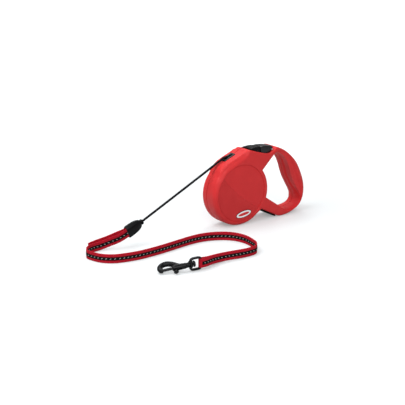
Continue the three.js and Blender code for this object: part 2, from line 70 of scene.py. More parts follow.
REAR_GROOVE = (40.2, 40.6, 40.9, 41.3)
SCREW_RECESS = 2.93  # radius
DECK_TILT = math.radians(22.5)
SCREWS = [(3, 49.3), (68.2, 51), (111, -12), (72, -39.5), (46, -24)]
CORD_Y = 4.0
CORD = 1.4
OUTLET_AT = (-8.9, CORD_Y, 48.3)
WOUND = 37.8  # radius of the cord on the spool
COUPLER_TILT = math.radians(156.9)
COUPLER_AT = (-154.5, CORD_Y, -17.4)
WEB_WIDTH = 12.0
WEB_THICK = 1.6
EYE_BAR = (-147.7, -121.8)
EYE_HALF = 8.8
EYE_LENGTH = 15.0
EYE_YAW = math.radians(7)
EYE_Z = FLOOR + EYE_HALF + 0.2
SNAP_YAW = math.radians(20)
SNAP_DROP = math.radians(7)
SNAP_ROLL = math.radians(-22)


# ------------------------------------------------------------------ materials


class Graph:
    """One material's node graph, ending in a principled shader."""

    def __init__(self, name):
        self.material = bpy.data.materials.new(name)
        self.material.use_nodes = True
        self.tree = self.material.node_tree
        self.tree.nodes.clear()
        self.shader = self.node("ShaderNodeBsdfPrincipled")
        output = self.node("ShaderNodeOutputMaterial")
        self.tree.links.new(self.shader.outputs[0], output.inputs[0])

    def node(self, kind, inputs=None, **settings):
        made = self.tree.nodes.new(kind)
        for key, value in settings.items():
            setattr(made, key, value)
        for key, value in (inputs or {}).items():
            self.put(made.inputs[key], value)
        return made

    def put(self, socket, value):
        if isinstance(value, bpy.types.NodeSocket):
            self.tree.links.new(value, socket)
        else:
            socket.default_value = value

    def math(self, operation, first, second=0.0):
        made = self.node("ShaderNodeMath", {0: first, 1: second}, operation=operation)
        return made.outputs[0]

    def place(self):
        return self.node("ShaderNodeTexCoord").outputs["Object"]

    def noise(self, size, detail=2.0, place=None):
        """Noise whose lumps are about size millimetres across."""
        inputs = {"Vector": place or self.place(), "Scale": 1000.0 / size, "Detail": detail}
        return self.node("ShaderNodeTexNoise", inputs).outputs["Fac"]

    def spread(self, value, low, high):
        """Takes 0.3..0.7, where noise mostly lies, to low..high."""
        inputs = {"Value": value, "From Min": 0.3, "From Max": 0.7, "To Min": low, "To Max": high}
        return self.node("ShaderNodeMapRange", inputs).outputs["Result"]

    def mix(self, share, first, second):
        made = self.node("ShaderNodeMix", data_type="RGBA")
        for key, value in ((0, share), (6, first), (7, second)):
            self.put(made.inputs[key], value)
        return made.outputs[2]

    def bump(self, height, depth, below=None):
        """A bump of depth millimetres, on top of another bump if one is given."""
        inputs = {"Height": height, "Distance": depth * MM, "Strength": 1.0}
        if below is not None:
            inputs["Normal"] = below
        return self.node("ShaderNodeBump", inputs).outputs["Normal"]

    def sharp_edge(self, low, high):
        """Rises from 0 to 1 as the surface's pointiness goes from low to high."""
        pointy = self.node("ShaderNodeNewGeometry").outputs["Pointiness"]
        inputs = {"Value": pointy, "From Min": low, "From Max": high}
        return self.node("ShaderNodeMapRange", inputs).outputs["Result"]

    def strands(self):
        """The two directions of a woven piece, in millimetres along and across it."""
        coords = self.node("ShaderNodeTexCoord").outputs["UV"]
        split = self.node("ShaderNodeSeparateXYZ", {0: coords})
        return split.outputs[0], split.outputs[1]

    def finish(self, **inputs):
        for key, value in inputs.items():
            self.put(self.shader.inputs[key.replace("_", " ")], value)
        return self.material


def rgb(*levels):
    return (*levels, 1.0)


def tint(colour, times, plus=0.0):
    """A colour made darker or paler, and never more than white."""
    return [min(1.0, c * times + plus) for c in colour[:3]] + [1.0]


def moulded(name, colour, rough, grain=0.35, depth=0.02, coat=0.0, worn=0.15, specular=0.2):
    """Moulded plastic: a fine grain, faint mottling and edges rubbed a little paler."""
    g = Graph(name)
    fine = g.noise(grain, 3.0)
    broad = g.noise(14.0, 4.0)
    rub = g.math("MULTIPLY", g.sharp_edge(0.515, 0.60), g.spread(g.noise(3.0, 4.0), 0.0, worn))
    tone = g.mix(g.spread(broad, 0.0, 1.0), colour, tint(colour, 0.93))
    return g.finish(
        Base_Color=g.mix(rub, tone, tint(colour, 1.1, 0.06)),
        Roughness=g.spread(broad, rough - 0.04, rough + 0.05),
        Normal=g.bump(fine, depth, g.bump(g.noise(9.0), 0.03)),
        Coat_Weight=coat,
        Coat_Roughness=0.12,
        Specular_IOR_Level=specular,
    )


def metal(name, colour, rough, brushed=0.0):
    """Metal with fine scratches, drawn out along Z when brushed."""
    g = Graph(name)
    stretch = g.node("ShaderNodeMapping", {"Vector": g.place(), "Scale": (1, 1, 1 - brushed)})
    lines = g.noise(0.25, 3.0, stretch.outputs["Vector"])
    broad = g.noise(6.0, 3.0)
    return g.finish(
        Base_Color=g.mix(g.spread(broad, 0.0, 0.6), colour, tint(colour, 0.8)),
        Metallic=1.0,
        Roughness=g.spread(lines, rough - 0.05, rough + 0.08),
        Normal=g.bump(lines, 0.006),
    )


def black_nickel(name):
    """A cast piece under a dark, glossy plating, with soft orange-peel."""
    g = Graph(name)
    peel = g.noise(1.6, 2.0)
    share = g.math("MULTIPLY", g.sharp_edge(0.53, 0.62), 0.5)
    return g.finish(
        Base_Color=g.mix(share, rgb(0.004, 0.004, 0.005), rgb(0.03, 0.03, 0.033)),
        Metallic=0.3,
        Roughness=g.spread(g.noise(4.0), 0.2, 0.32),
        Normal=g.bump(peel, 0.03, g.bump(g.noise(0.3), 0.008)),
        Specular_IOR_Level=0.25,
    )


def woven(name, colour, along=0.9, across=0.8, depth=0.16):
    """Flat webbing: short floats in a brick pattern, each one a rounded bump, with painted shade in the
    hollows between the floats and a painted lighter top on each.
    """
    g = Graph(name)
    u, v = g.strands()
    row = g.math("DIVIDE", u, along)
    shift = g.math("MULTIPLY", g.math("MODULO", g.math("FLOOR", row), 2.0), 0.5)
    column = g.math("ADD", g.math("DIVIDE", v, across), shift)
    one = g.math("SINE", g.math("MULTIPLY", g.math("FRACT", row), math.pi))
    two = g.math("SINE", g.math("MULTIPLY", g.math("FRACT", column), math.pi))
    float_height = g.math("MULTIPLY", one, two)
    fuzz = g.noise(0.2, 3.0)
    # dark is painted shade for the hollows between floats and also the darker end of the random mottling;
    # the floats' tops are painted lighter
    dark = tint(colour, 0.45)
    thread = g.mix(float_height, dark, tint(colour, 1.15))
    tone = g.mix(g.spread(g.noise(7.0, 4.0), 0.0, 0.35), thread, dark)
    return g.finish(
        Base_Color=tone,
        Roughness=g.spread(fuzz, 0.62, 0.85),
        Normal=g.bump(float_height, depth, g.bump(fuzz, 0.03)),
        Specular_IOR_Level=0.08,
    )


def braided(name, colour):
    """Round cord: two sets of strands that cross as they wind round it, painted paler on the raised strands
    and darker in the grooves as light and shade.
    """
    g = Graph(name)
    u, v = g.strands()
    turn = g.math("MULTIPLY", u, 2 * math.pi / 2.4)
    around = g.math("MULTIPLY", v, 2 * math.pi * 4)
    one = g.math("SINE", g.math("ADD", turn, around))
    two = g.math("SINE", g.math("SUBTRACT", turn, around))
    height = g.math("MULTIPLY", one, two)
    # share follows the braid's height: painted highlight on the raised strands, painted shade in the grooves
    share = g.math("ADD", g.math("MULTIPLY", height, 0.5), 0.5)
    return g.finish(
        Base_Color=g.mix(share, colour, tint(colour, 2, 0.004)),
        Roughness=g.spread(g.noise(0.3), 0.5, 0.7),
        Normal=g.bump(height, 0.12, g.bump(g.noise(0.15), 0.02)),
        Specular_IOR_Level=0.08,
    )


RED = moulded("red_abs", rgb(0.60, 0.026, 0.028), 0.45, grain=0.5, depth=0.012)
RED_PANEL = moulded("red_abs_grained", rgb(0.60, 0.026, 0.028), 0.5, grain=0.35, depth=0.02)
# a darker copy of the panel red: painted shade for the panel's side below the crease
RED_PANEL_SHADE = moulded("red_abs_painted_shade", rgb(0.55, 0.024, 0.026), 0.52, grain=0.35, depth=0.02)
BLACK = moulded("black_gloss", rgb(0.003, 0.003, 0.004), 0.22, grain=0.6, depth=0.006, specular=0.45)
SATIN = moulded("black_satin", rgb(0.003, 0.003, 0.004), 0.36, grain=0.3, depth=0.02, specular=0.12)
PAD = moulded("pad_rubber", rgb(0.004, 0.004, 0.005), 0.7, grain=0.4, depth=0.05, specular=0.06)
NYLON = moulded("natural_nylon", rgb(0.62, 0.59, 0.53), 0.5, grain=0.4, depth=0.03)
WHITE = moulded("badge_white", rgb(0.9, 0.9, 0.91), 0.25, grain=0.8, depth=0.004, coat=0.3)
STEEL = metal("plain_steel", rgb(0.62, 0.62, 0.63), 0.3, brushed=0.9)
BRASS = metal("bush_brass", rgb(0.72, 0.52, 0.24), 0.3)
PLATED = black_nickel("black_nickel")
WEBBING = woven("webbing_red", rgb(0.62, 0.012, 0.030))
TRACER = woven("tracer_black", rgb(0.004, 0.004, 0.005), along=0.6, across=0.5, depth=0.1)
THREAD = woven("stitch_reflective", rgb(0.62, 0.60, 0.56), along=0.5, across=0.4, depth=0.05)
SEWING = woven("sewing_thread", rgb(0.30, 0.006, 0.014), along=0.5, across=0.4, depth=0.05)
ROPE = braided("cord_black", rgb(0.004, 0.004, 0.005))


# ------------------------------------------------------------------ mesh helpers


def link(name, mesh):
    obj = bpy.data.objects.new(name, mesh)
    bpy.context.scene.collection.objects.link(obj)
    return obj


@contextmanager
def edited(mesh):
    """A mesh opened for editing and written back at the end."""
    work = bmesh.new()
    work.from_mesh(mesh)
    yield work
    work.to_mesh(mesh)
    work.free()


def shade(mesh, angle=38.0):
    """Outward faces, smooth shading, and a hard line where two faces turn by angle."""
    with edited(mesh) as work:
        bmesh.ops.recalc_face_normals(work, faces=work.faces)
        for face in work.faces:
            face.smooth = True
        for edge in work.edges:
            if len(edge.link_faces) == 2:
                edge.smooth = edge.calc_face_angle(0.0) < math.radians(angle)


def attach(obj, body, nodes):
    """Hangs a finished piece on its body, in place of the CAD nodes it stands for."""
    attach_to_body(obj, body)
    label(obj, nodes)


def label(obj, nodes):
    obj.data.transform(Matrix.Translation((0, -HALF * MM, 0)))
    if nodes:
        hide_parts(*nodes)


class Shape:
    """Vertices in millimetres and faces, gathered piece by piece."""

    def __init__(self):
        self.verts = []
        self.faces = []

    def add(self, points):
        start = len(self.verts)
        self.verts.extend(np.asarray(points, float).tolist())
        return list(range(start, len(self.verts)))

    def strip(self, one, two):
        """Quads between two closed loops of the same length."""
        count = len(one)
        for i in range(count):
            j = (i + 1) % count
            self.faces.append((one[i], one[j], two[j], two[i]))

    def fill(self, loops, extra, lift, lines=()):
        """Triangles over the region inside the first loop and outside the others. Loops
        are of vertices already added, extra are points in X and Z that lift(points)
        gives a Y, and lines are runs of extra points that edges must follow."""
        known = [index for loop in loops for index in loop]
        plane = [Vector((self.verts[i][0], self.verts[i][2])) for i in known]
        edges, start = [], 0
        for loop in loops:
            count = len(loop)
            edges += [(start + i, start + (i + 1) % count) for i in range(count)]
            start += count
        edges += [(start + a, start + b) for a, b in lines]
        plane += [Vector(p) for p in extra]
        found = delaunay_2d_cdt(plane, edges, [], 0, 1e-5)
        corners, faces, origin = found[0], found[2], found[3]
        flat = np.array([(c.x, c.y) for c in corners])
        heights = lift(flat)
        index = []
        for k, where in enumerate(origin):
            old = [w for w in where if w < len(known)]
            if old:
                index.append(known[old[0]])
            else:
                index.append(len(self.verts))
                self.verts.append([flat[k][0], heights[k], flat[k][1]])
        rings = [np.array([(self.verts[i][0], self.verts[i][2]) for i in loop]) for loop in loops]
        middles = np.array([flat[list(f)].mean(0) for f in faces])
        keep = inside(middles, rings[0])
        for ring in rings[1:]:
            keep &= ~inside(middles, ring)
        self.faces += [tuple(index[i] for i in f) for f, k in zip(faces, keep) if k]

    def build(self, name, material, angle=38.0):
        mesh = bpy.data.meshes.new(name)
        mesh.from_pydata((np.array(self.verts) * MM).tolist(), [], self.faces)
        mesh.update()
        with edited(mesh) as work:
            loose = [v for v in work.verts if not v.link_faces]
            bmesh.ops.delete(work, geom=loose, context="VERTS")
        mesh.materials.append(material)
        shade(mesh, angle)
        return link(name, mesh)


def inside(points, ring):
    """Which points lie inside a closed polygon."""
    a, b = ring, np.roll(ring, -1, 0)
    x, y = points[:, :1], points[:, 1:]
    crosses = (a[:, 1] > y) != (b[:, 1] > y)
    rise = np.where(b[:, 1] == a[:, 1], 1e-12, b[:, 1] - a[:, 1])
    at = a[:, 0] + (y - a[:, 1]) * (b[:, 0] - a[:, 0]) / rise
    return (crosses & (x < at)).sum(1) % 2 == 1


def grid(name, rows, material, along=None, across=None, closed=True, caps=True, angle=38.0):
    """A surface over rows of points, each row a closed or open section. along and across
    are the rows' and columns' own coordinates, kept as the piece's weave directions."""
    rows = np.asarray(rows, float)
    count, width = rows.shape[:2]
    along = np.arange(count, dtype=float) if along is None else np.asarray(along, float)
    across = np.arange(width + 1, dtype=float) if across is None else np.asarray(across, float)
    faces, coords = [], []
    for i in range(count - 1):
        for j in range(width if closed else width - 1):
            k = (j + 1) % width
            faces.append((i * width + j, i * width + k, (i + 1) * width + k, (i + 1) * width + j))
            low, high = across[j], across[j + 1]
            coords += [(along[i], low), (along[i], high), (along[i + 1], high), (along[i + 1], low)]
    if caps:
        faces.append(tuple(range(width)))
        faces.append(tuple(range((count - 1) * width, count * width)))
        coords += [(along[0], a) for a in across[:width]] + [(along[-1], a) for a in across[:width]]
    mesh = bpy.data.meshes.new(name)
    mesh.from_pydata((rows.reshape(-1, 3) * MM).tolist(), [], faces)
    layer = mesh.uv_layers.new(name="strands")
    layer.data.foreach_set("uv", np.array(coords, np.float32).ravel())
    mesh.update()
    mesh.materials.append(material)
    shade(mesh, angle)
    return link(name, mesh)


def hermite(p1, p2, m1, m2, t):
    """The point at share t of a cubic that leaves p1 with slope m1 and reaches p2 with m2."""
    cube = 2 * p1 - 2 * p2 + m1 + m2
    square = -3 * p1 + 3 * p2 - 2 * m1 - m2
    return cube * t**3 + square * t**2 + m1 * t + p1


def bow(first, corner, last, t):
    """The point at share t of a bend that rounds off a corner."""
    return (1 - t) ** 2 * first + 2 * t * (1 - t) * corner + t**2 * last


def around(count):
    """The angles of count points spaced evenly round a circle."""
    return np.linspace(0, 2 * math.pi, count, endpoint=False)


def spline(points, per=8):
    """A smooth open curve through the points, in X and Z."""
    pts = [np.array(p, float) for p in points]
    last = len(pts) - 1
    out = []
    for k in range(last * per + 1):
        i = min(k // per, last - 1)
        leave = (pts[i + 1] - pts[max(i - 1, 0)]) / 2
        arrive = (pts[min(i + 2, last)] - pts[i]) / 2
        out.append(hermite(pts[i], pts[i + 1], leave, arrive, k / per - i))
    return out


def centripetal(points, per=14):
    """A smooth open curve in space that never overshoots between close points."""
    pts = [np.array(p, float) for p in points]
    pts = [2 * pts[0] - pts[1], *pts, 2 * pts[-1] - pts[-2]]
    out = []
    for i in range(1, len(pts) - 2):
        p0, p1, p2, p3 = pts[i - 1 : i + 3]
        pairs = ((p0, p1), (p1, p2), (p2, p3))
        d0, d1, d2 = (max(np.linalg.norm(b - a), 1e-4) ** 0.5 for a, b in pairs)
        m1 = ((p1 - p0) / d0 - (p2 - p0) / (d0 + d1) + (p2 - p1) / d1) * d1
        m2 = ((p2 - p1) / d1 - (p3 - p1) / (d1 + d2) + (p3 - p2) / d2) * d1
        out += [hermite(p1, p2, m1, m2, k / per) for k in range(per)]
    out.append(pts[-2])
    return np.array(out)


def lengths(points):
    """How far along its run each point lies."""
    return np.concatenate([[0], np.cumsum(np.linalg.norm(np.diff(points, axis=0), axis=1))])


def spaced(points, step, closed=False):
    """The same run of points, evenly spaced along its length."""
    pts = np.asarray(points, float)
    if closed:
        pts = np.vstack([pts, pts[:1]])
    run = lengths(pts)
    count = max(2, int(round(run[-1] / step)) + 1)
    at = np.linspace(0, run[-1], count)
    out = np.stack([np.interp(at, run, pts[:, k]) for k in range(pts.shape[1])], 1)
    return out[:-1] if closed else out


def turned(name, profile, material, place=None, sides=48, angle=38.0):
    """A lathed piece: profile points are [radius, height], the axis is local +X."""
    rows = [[(h, r * math.cos(a), r * math.sin(a)) for a in around(sides)] for r, h in profile]
    obj = grid(name, rows, material, angle=angle)
    if place is not None:
        obj.data.transform(place)
    return obj


def rounded(points, radius, steps=4):
    """A closed polygon with its corners rounded."""
    pts = [np.array(p, float) for p in points]
    out = []
    for i, corner in enumerate(pts):
        for other, order in ((pts[i - 1], 0), (pts[(i + 1) % len(pts)], 1)):
            reach = min(radius, np.linalg.norm(other - corner) * 0.45)
            end = corner + (other - corner) / np.linalg.norm(other - corner) * reach
            if order == 0:
                first = end
            else:
                last = end
        out += [bow(first, corner, last, t) for t in np.linspace(0, 1, steps + 1)]
    return np.array(out)


def rectangle(length, width):
    a, b = length / 2, width / 2
    return [(a, b), (-a, b), (-a, -b), (a, -b)]


def turning(points):
    """1 for a closed outline that runs anticlockwise, -1 for one that runs clockwise."""
    x, y = points[:, 0], points[:, 1]
    return np.sign(np.sum(x * np.roll(y, -1) - np.roll(x, -1) * y))


def left_of(points):
    """The normals on the left of a closed outline's run."""
    along = np.roll(points, -1, 0) - np.roll(points, 1, 0)
    along /= np.linalg.norm(along, axis=1)[:, None]
    return np.stack([-along[:, 1], along[:, 0]], 1)


def shrunk(points, distance):
    """A closed outline moved inwards along its own normals."""
    pts = np.asarray(points, float)
    return pts + left_of(pts) * turning(pts) * distance


def slab(name, outline, low, high, round_by, material, steps=4):
    """A piece with one outline in X and Z, from Y low to high, its ends rounded over."""
    rows = []
    angles = np.linspace(0, math.pi / 2, steps + 1)
    ends = [(round_by * (1 - math.sin(a)), round_by * (1 - math.cos(a))) for a in angles]
    for inset, back in ends:
        rows.append([(x, low + back, z) for x, z in shrunk(outline, inset)])
    for inset, back in reversed(ends):
        rows.append([(x, high - back, z) for x, z in shrunk(outline, inset)])
    return grid(name, rows, material)


def settle(obj):
    """Turns a piece's modifiers into plain mesh."""
    graph = bpy.context.evaluated_depsgraph_get()
    baked = bpy.data.meshes.new_from_object(obj.evaluated_get(graph))
    obj.modifiers.clear()
    obj.data = baked
    return obj


def carve(obj, cutter, operation="DIFFERENCE"):
    """Cuts or joins with another mesh, which is then removed."""
    modifier = obj.modifiers.new("cut", "BOOLEAN")
    modifier.operation = operation
    modifier.solver = "EXACT"
    modifier.object = cutter
    settle(obj)
    bpy.data.objects.remove(cutter)
    return obj


def joined(name, parts):
    """Several meshes as one object, each keeping its own faces."""
    work = bmesh.new()
    for part in parts:
        work.from_mesh(part.data)
    mesh = bpy.data.meshes.new(name)
    work.to_mesh(mesh)
    work.free()
    mesh.materials.append(parts[0].data.materials[0])
    for part in parts:
        bpy.data.objects.remove(part)
    return link(name, mesh)


def cast(obj, voxel, smoothing):
    """Fuses overlapping solids into one casting with soft inner corners."""
    remesh = obj.modifiers.new("fuse", "REMESH")
    remesh.mode = "VOXEL"
    remesh.voxel_size = voxel * MM
    relax = obj.modifiers.new("relax", "SMOOTH")
    relax.factor = 0.5
    relax.iterations = smoothing
    settle(obj)
    shade(obj.data, 60)
    return obj


# ------------------------------------------------------------------ casing outlines


def casing_outline():
    """The side view of the whole casing: round end, lower arm, grip, dip, deck."""
    arc = [(DISC * math.cos(a), DISC * math.sin(a)) for a in np.radians(np.linspace(142, 321.6, 160))]
    bend = [np.array(p) for p in ((64.5, -43.6), (70, FLOOR), (76, FLOOR))]
    curve = [bow(*bend, t) for t in np.linspace(0, 1, 10)]
    grip = [(76, FLOOR), (87, -46), (98, -43.4), (107.5, -39), (114.7, -31), (118.2, -20), (118.3, -8)]
    grip += [(115.2, 4.5), (110, 17), (103, 29.5), (93.5, 40), (81, 49.3), (69, 55.2), (62, 57.6)]
    dip = [(62, 57.6), (56, 52.8), (51, 50.3), (45.5, 50.2), (38, 52), (27.5, 55.2), (17, 58.7)]
    deck = [(17, 58.7), (13.3, 59.5), (8, 56.9), (0, 53.2), (-11, 48.8), (-21, 44.3)]
    shoulder = [(-21, 44.3), (-28.5, 40.2), (-32.6, 36), (-34.9, 32)]
    runs = [arc, curve, spline(grip), spline(dip), spline(deck), [*spline(shoulder), arc[0]]]
    return gathered([[arc[-1], curve[0]], *runs], first=1)


def opening_outline():
    """The finger opening inside the grip."""
    sweep = np.radians(np.linspace(-16.9, 36.3, 50))
    arc = [(DISC * math.cos(a), DISC * math.sin(a)) for a in sweep]
    top = [(37.5, 27.5), (47.5, 37), (57, 45.4), (63, 47.8), (70.5, 45.5), (78, 39.5), (83.5, 31.5)]
    inner = [(83.5, 31.5), (87.2, 23), (90.5, 13.5), (95, 3), (100.9, -7.5), (106.7, -17), (110, -24.2)]
    low = [(110, -24.2), (110, -30.9), (105.3, -36.2), (97.4, -38.9), (89, -39.6), (81.5, -38.4)]
    arm = [(81.5, -38.4), (75, -34.4), (66, -28), (56, -21.2), (46.5, -14.8)]
    runs = [spline(top), spline(inner), spline(low), spline(arm), [(46.5, -14.8), arc[0]], arc]
    return gathered(runs)


def gathered(runs, first=0):
    """Joins runs of points end to end at an even spacing, keeping the joints."""
    order = [runs[first]] + [runs[0]] * first + runs[first + 1 :]
    points = np.vstack([spaced(run, 1.3)[:-1] for run in order])
    keep = np.linalg.norm(points - np.roll(points, 1, 0), axis=1) > 0.2
    return points[keep]


class Border:
    """A boundary of the casing's side view with the rounding that runs along it: at each
    anchor [x, z, reach, fall, crisp] the edge starts reach in from the border and falls by
    fall, as a quarter round when crisp is 0 and as a chamfer with a soft start when it's 1."""

    def __init__(self, points, anchors, solid_inside, share=1.0, most=99.0):
        self.points = points
        self.inward = left_of(points) * turning(points) * (1 if solid_inside else -1)
        run = lengths(np.vstack([points, points[:1]]))
        marks = []
        for x, z, reach, fall, crisp in anchors:
            nearest = int(np.argmin(np.hypot(points[:, 0] - x, points[:, 1] - z)))
            marks.append((run[nearest], reach, min(fall * share, most), crisp))
        marks.sort()
        at, *levels = np.array(marks).T
        self.reach, self.fall, self.crisp = (np.interp(run[:-1], at, v, period=run[-1]) for v in levels)

    def measure(self, query):
        """Each query point's distance from the border, and the reach, fall and crisp there."""
        a, b = self.points, np.roll(self.points, -1, 0)
        ab = b - a
        distance, reach, fall, crisp = [], [], [], []
        for block in np.array_split(query, max(1, len(query) // 2000)):
            offset = block[:, None, :] - a
            t = np.clip((offset * ab).sum(2) / (ab**2).sum(1), 0, 1)
            gap = np.linalg.norm(offset - t[:, :, None] * ab, axis=2)
            best = gap.argmin(1)
            rows = np.arange(len(block))
            share = t[rows, best]
            distance.append(gap[rows, best])
            for values, out in ((self.reach, reach), (self.fall, fall), (self.crisp, crisp)):
                ahead = np.roll(values, -1)
                out.append(values[best] * (1 - share) + ahead[best] * share)
        return [np.concatenate(values) for values in (distance, reach, fall, crisp)]

    def drop(self, query):
        distance, reach, fall, crisp = self.measure(query)
        share = np.clip(1 - distance / reach, 0, 1)
        return fall * ((1 - np.sqrt(1 - share**2)) * (1 - crisp) + share**1.28 * crisp)

    def rings(self):
        """Points that follow the border inside it, closer together near its edge."""
        out = []
        for share in (0.03, 0.11, 0.24, 0.42, 0.62, 0.82, 1.0, 1.15):
            moved = self.points + self.inward * (self.reach * share)[:, None]
            distance = self.measure(moved)[0]
            wide = (self.reach > 2.2) | (share in (0.11, 0.42, 1.0))
            out.append(moved[(distance > 0.93 * self.reach * share) & wide])
        return np.vstack(out)


OUTER = casing_outline()
OPENING = opening_outline()
# x, z, how far in the rounding reaches, how far it falls, how crisp its outer end is
OUTER_EDGE = [
    (-35, 31.5, 6.2, 5.8, 0.6), (-41, 22, 5.6, 6.4, 0.2), (-46.5, 0, 5.4, 6.8, 0), (0, -46.5, 5.4, 6.8, 0),
    (30, -35.5, 4.6, 5.5, 0), (36.4, -28.9, 1.8, 2.4, 0), (64.5, -43.6, 1.8, 2.4, 0), (76, -46.5, 3, 4, 0),
    (98, -43.4, 6, 7, 0), (110, -36, 7.5, 8.5, 0), (118.3, -14, 8, 9, 0), (110, 17, 8, 9, 0),
    (93.5, 40, 7, 8, 0), (81, 49.3, 5.5, 6.5, 0), (69, 55.2, 3.5, 4, 0), (62, 57.6, 2.4, 3, 0),
    (56, 52.8, 1.2, 1.6, 0), (38, 52, 1.2, 1.6, 0), (17, 58.7, 1.4, 1.9, 0), (12, 58.9, 3, 3, 0.6),
    (7, 56.4, 6.5, 3.9, 1), (0, 53.2, 7.6, 4.3, 1), (-21, 44.3, 7.6, 4.4, 1), (-28.5, 40.2, 7.2, 4.8, 1),
]
OPENING_EDGE = [
    (37.5, 27.5, 1.1, 1.6, 0), (47.5, 37, 1.3, 2, 0), (57, 45.4, 1.8, 3, 0), (63, 47.8, 3.5, 7, 0),
    (70.5, 45.5, 8, 13, 0.6), (78, 39.5, 11, 16, 0.8), (90.5, 13.5, 13, 17, 0.8), (100.8, -7.5, 12, 16, 0.7),
    (110, -24, 6, 13, 0), (105.3, -36.2, 4, 9.5, 0), (97.4, -38.9, 3, 7, 0), (81.5, -38.4, 2.4, 4.4, 0),
    (66, -28, 1.4, 2.2, 0), (46.5, -14.8, 1.1, 1.6, 0), (46.5, 0, 1.1, 1.6, 0),
]


def rear_anchor(x, z, reach, fall, crisp):
    """The same on the rear shell: cut back further behind the button, fuller beside the
    deck, where a screw sits close to the edge."""
    if z > 40 and 10 < x < 65:
        return x, z, max(reach, 4.6), max(fall, 8.5), 0
    if z > 40 and -25 < x <= 10:
        return x, z, 4.5, 2.6, crisp
    return x, z, reach, fall, crisp


REAR_EDGE = [rear_anchor(*anchor) for anchor in OUTER_EDGE]
CREASE = [(-31.5, 26.5), (-3.8, -1.4), (30, -25)]


def circle_through(a, b, c):
    ax, ay, bx, by, cx, cy = *a, *b, *c
    d = 2 * (ax * (by - cy) + bx * (cy - ay) + cx * (ay - by))
    a2, b2, c2 = ax * ax + ay * ay, bx * bx + by * by, cx * cx + cy * cy
    x = (a2 * (by - cy) + b2 * (cy - ay) + c2 * (ay - by)) / d
    y = (a2 * (cx - bx) + b2 * (ax - cx) + c2 * (bx - ax)) / d
    return np.array([x, y]), math.hypot(ax - x, ay - y)


CREASE_AT, CREASE_R = circle_through(*CREASE)
UPPER = np.sign(np.hypot(*(np.array([20.0, 20.0]) - CREASE_AT)) - CREASE_R)


def beyond_crease(points):
    """Signed distance from the crease, positive on its upper right side."""
    return UPPER * (np.hypot(points[:, 0] - CREASE_AT[0], points[:, 1] - CREASE_AT[1]) - CREASE_R)


# ------------------------------------------------------------------ casing


def ring_of(radius, count, centre=(0, 0)):
    angles = around(count)
    return np.stack([centre[0] + radius * np.cos(angles), centre[1] + radius * np.sin(angles)], 1)


def front_relief(points):
    """How far the badge face sinks: the panel, the groove round it and its crease."""
    radius = np.hypot(points[:, 0], points[:, 1])
    beyond = beyond_crease(points)
    upper = 0.5 + 0.75 * np.exp(-np.clip(beyond, 0, None) / 14)
    floor = np.where(beyond > 0, upper, 0.5)
    groove = np.interp(radius, PANEL_GROOVE, [0, 0.4, 0.4, 0])
    return np.where(radius < PANEL_STEP, floor, 0) + groove


def rear_relief(points):
    """How far the back sinks: a ring groove and the screws' recesses."""
    radius = np.hypot(points[:, 0], points[:, 1])
    out = np.interp(radius, REAR_GROOVE, [0, 0.5, 0.5, 0])
    for at in SCREWS:
        near = np.hypot(points[:, 0] - at[0], points[:, 1] - at[1])
        lip = 0.25 * np.clip(1 - (near - SCREW_RECESS) / 0.3, 0, 1)
        out = np.where(near < SCREW_RECESS, 3.0, out + lip)
    return out


def thinned(points, against, gap):
    """The points that keep clear of the ones already placed."""
    keep = np.ones(len(points), bool)
    for block in np.array_split(np.arange(len(points)), max(1, len(points) // 800)):
        apart = np.linalg.norm(points[block][:, None] - against[None], axis=2)
        keep[block] = apart.min(1) > gap
    return points[keep]


def at_depth(points, y):
    """Points of the side view at the given Y, one for all or one for each."""
    return np.stack([points[:, 0], np.broadcast_to(y, len(points)), points[:, 1]], 1)


def level(y):
    return lambda points: np.full(len(points), y)


def in_casing(points):
    return inside(points, OUTER) & ~inside(points, OPENING)


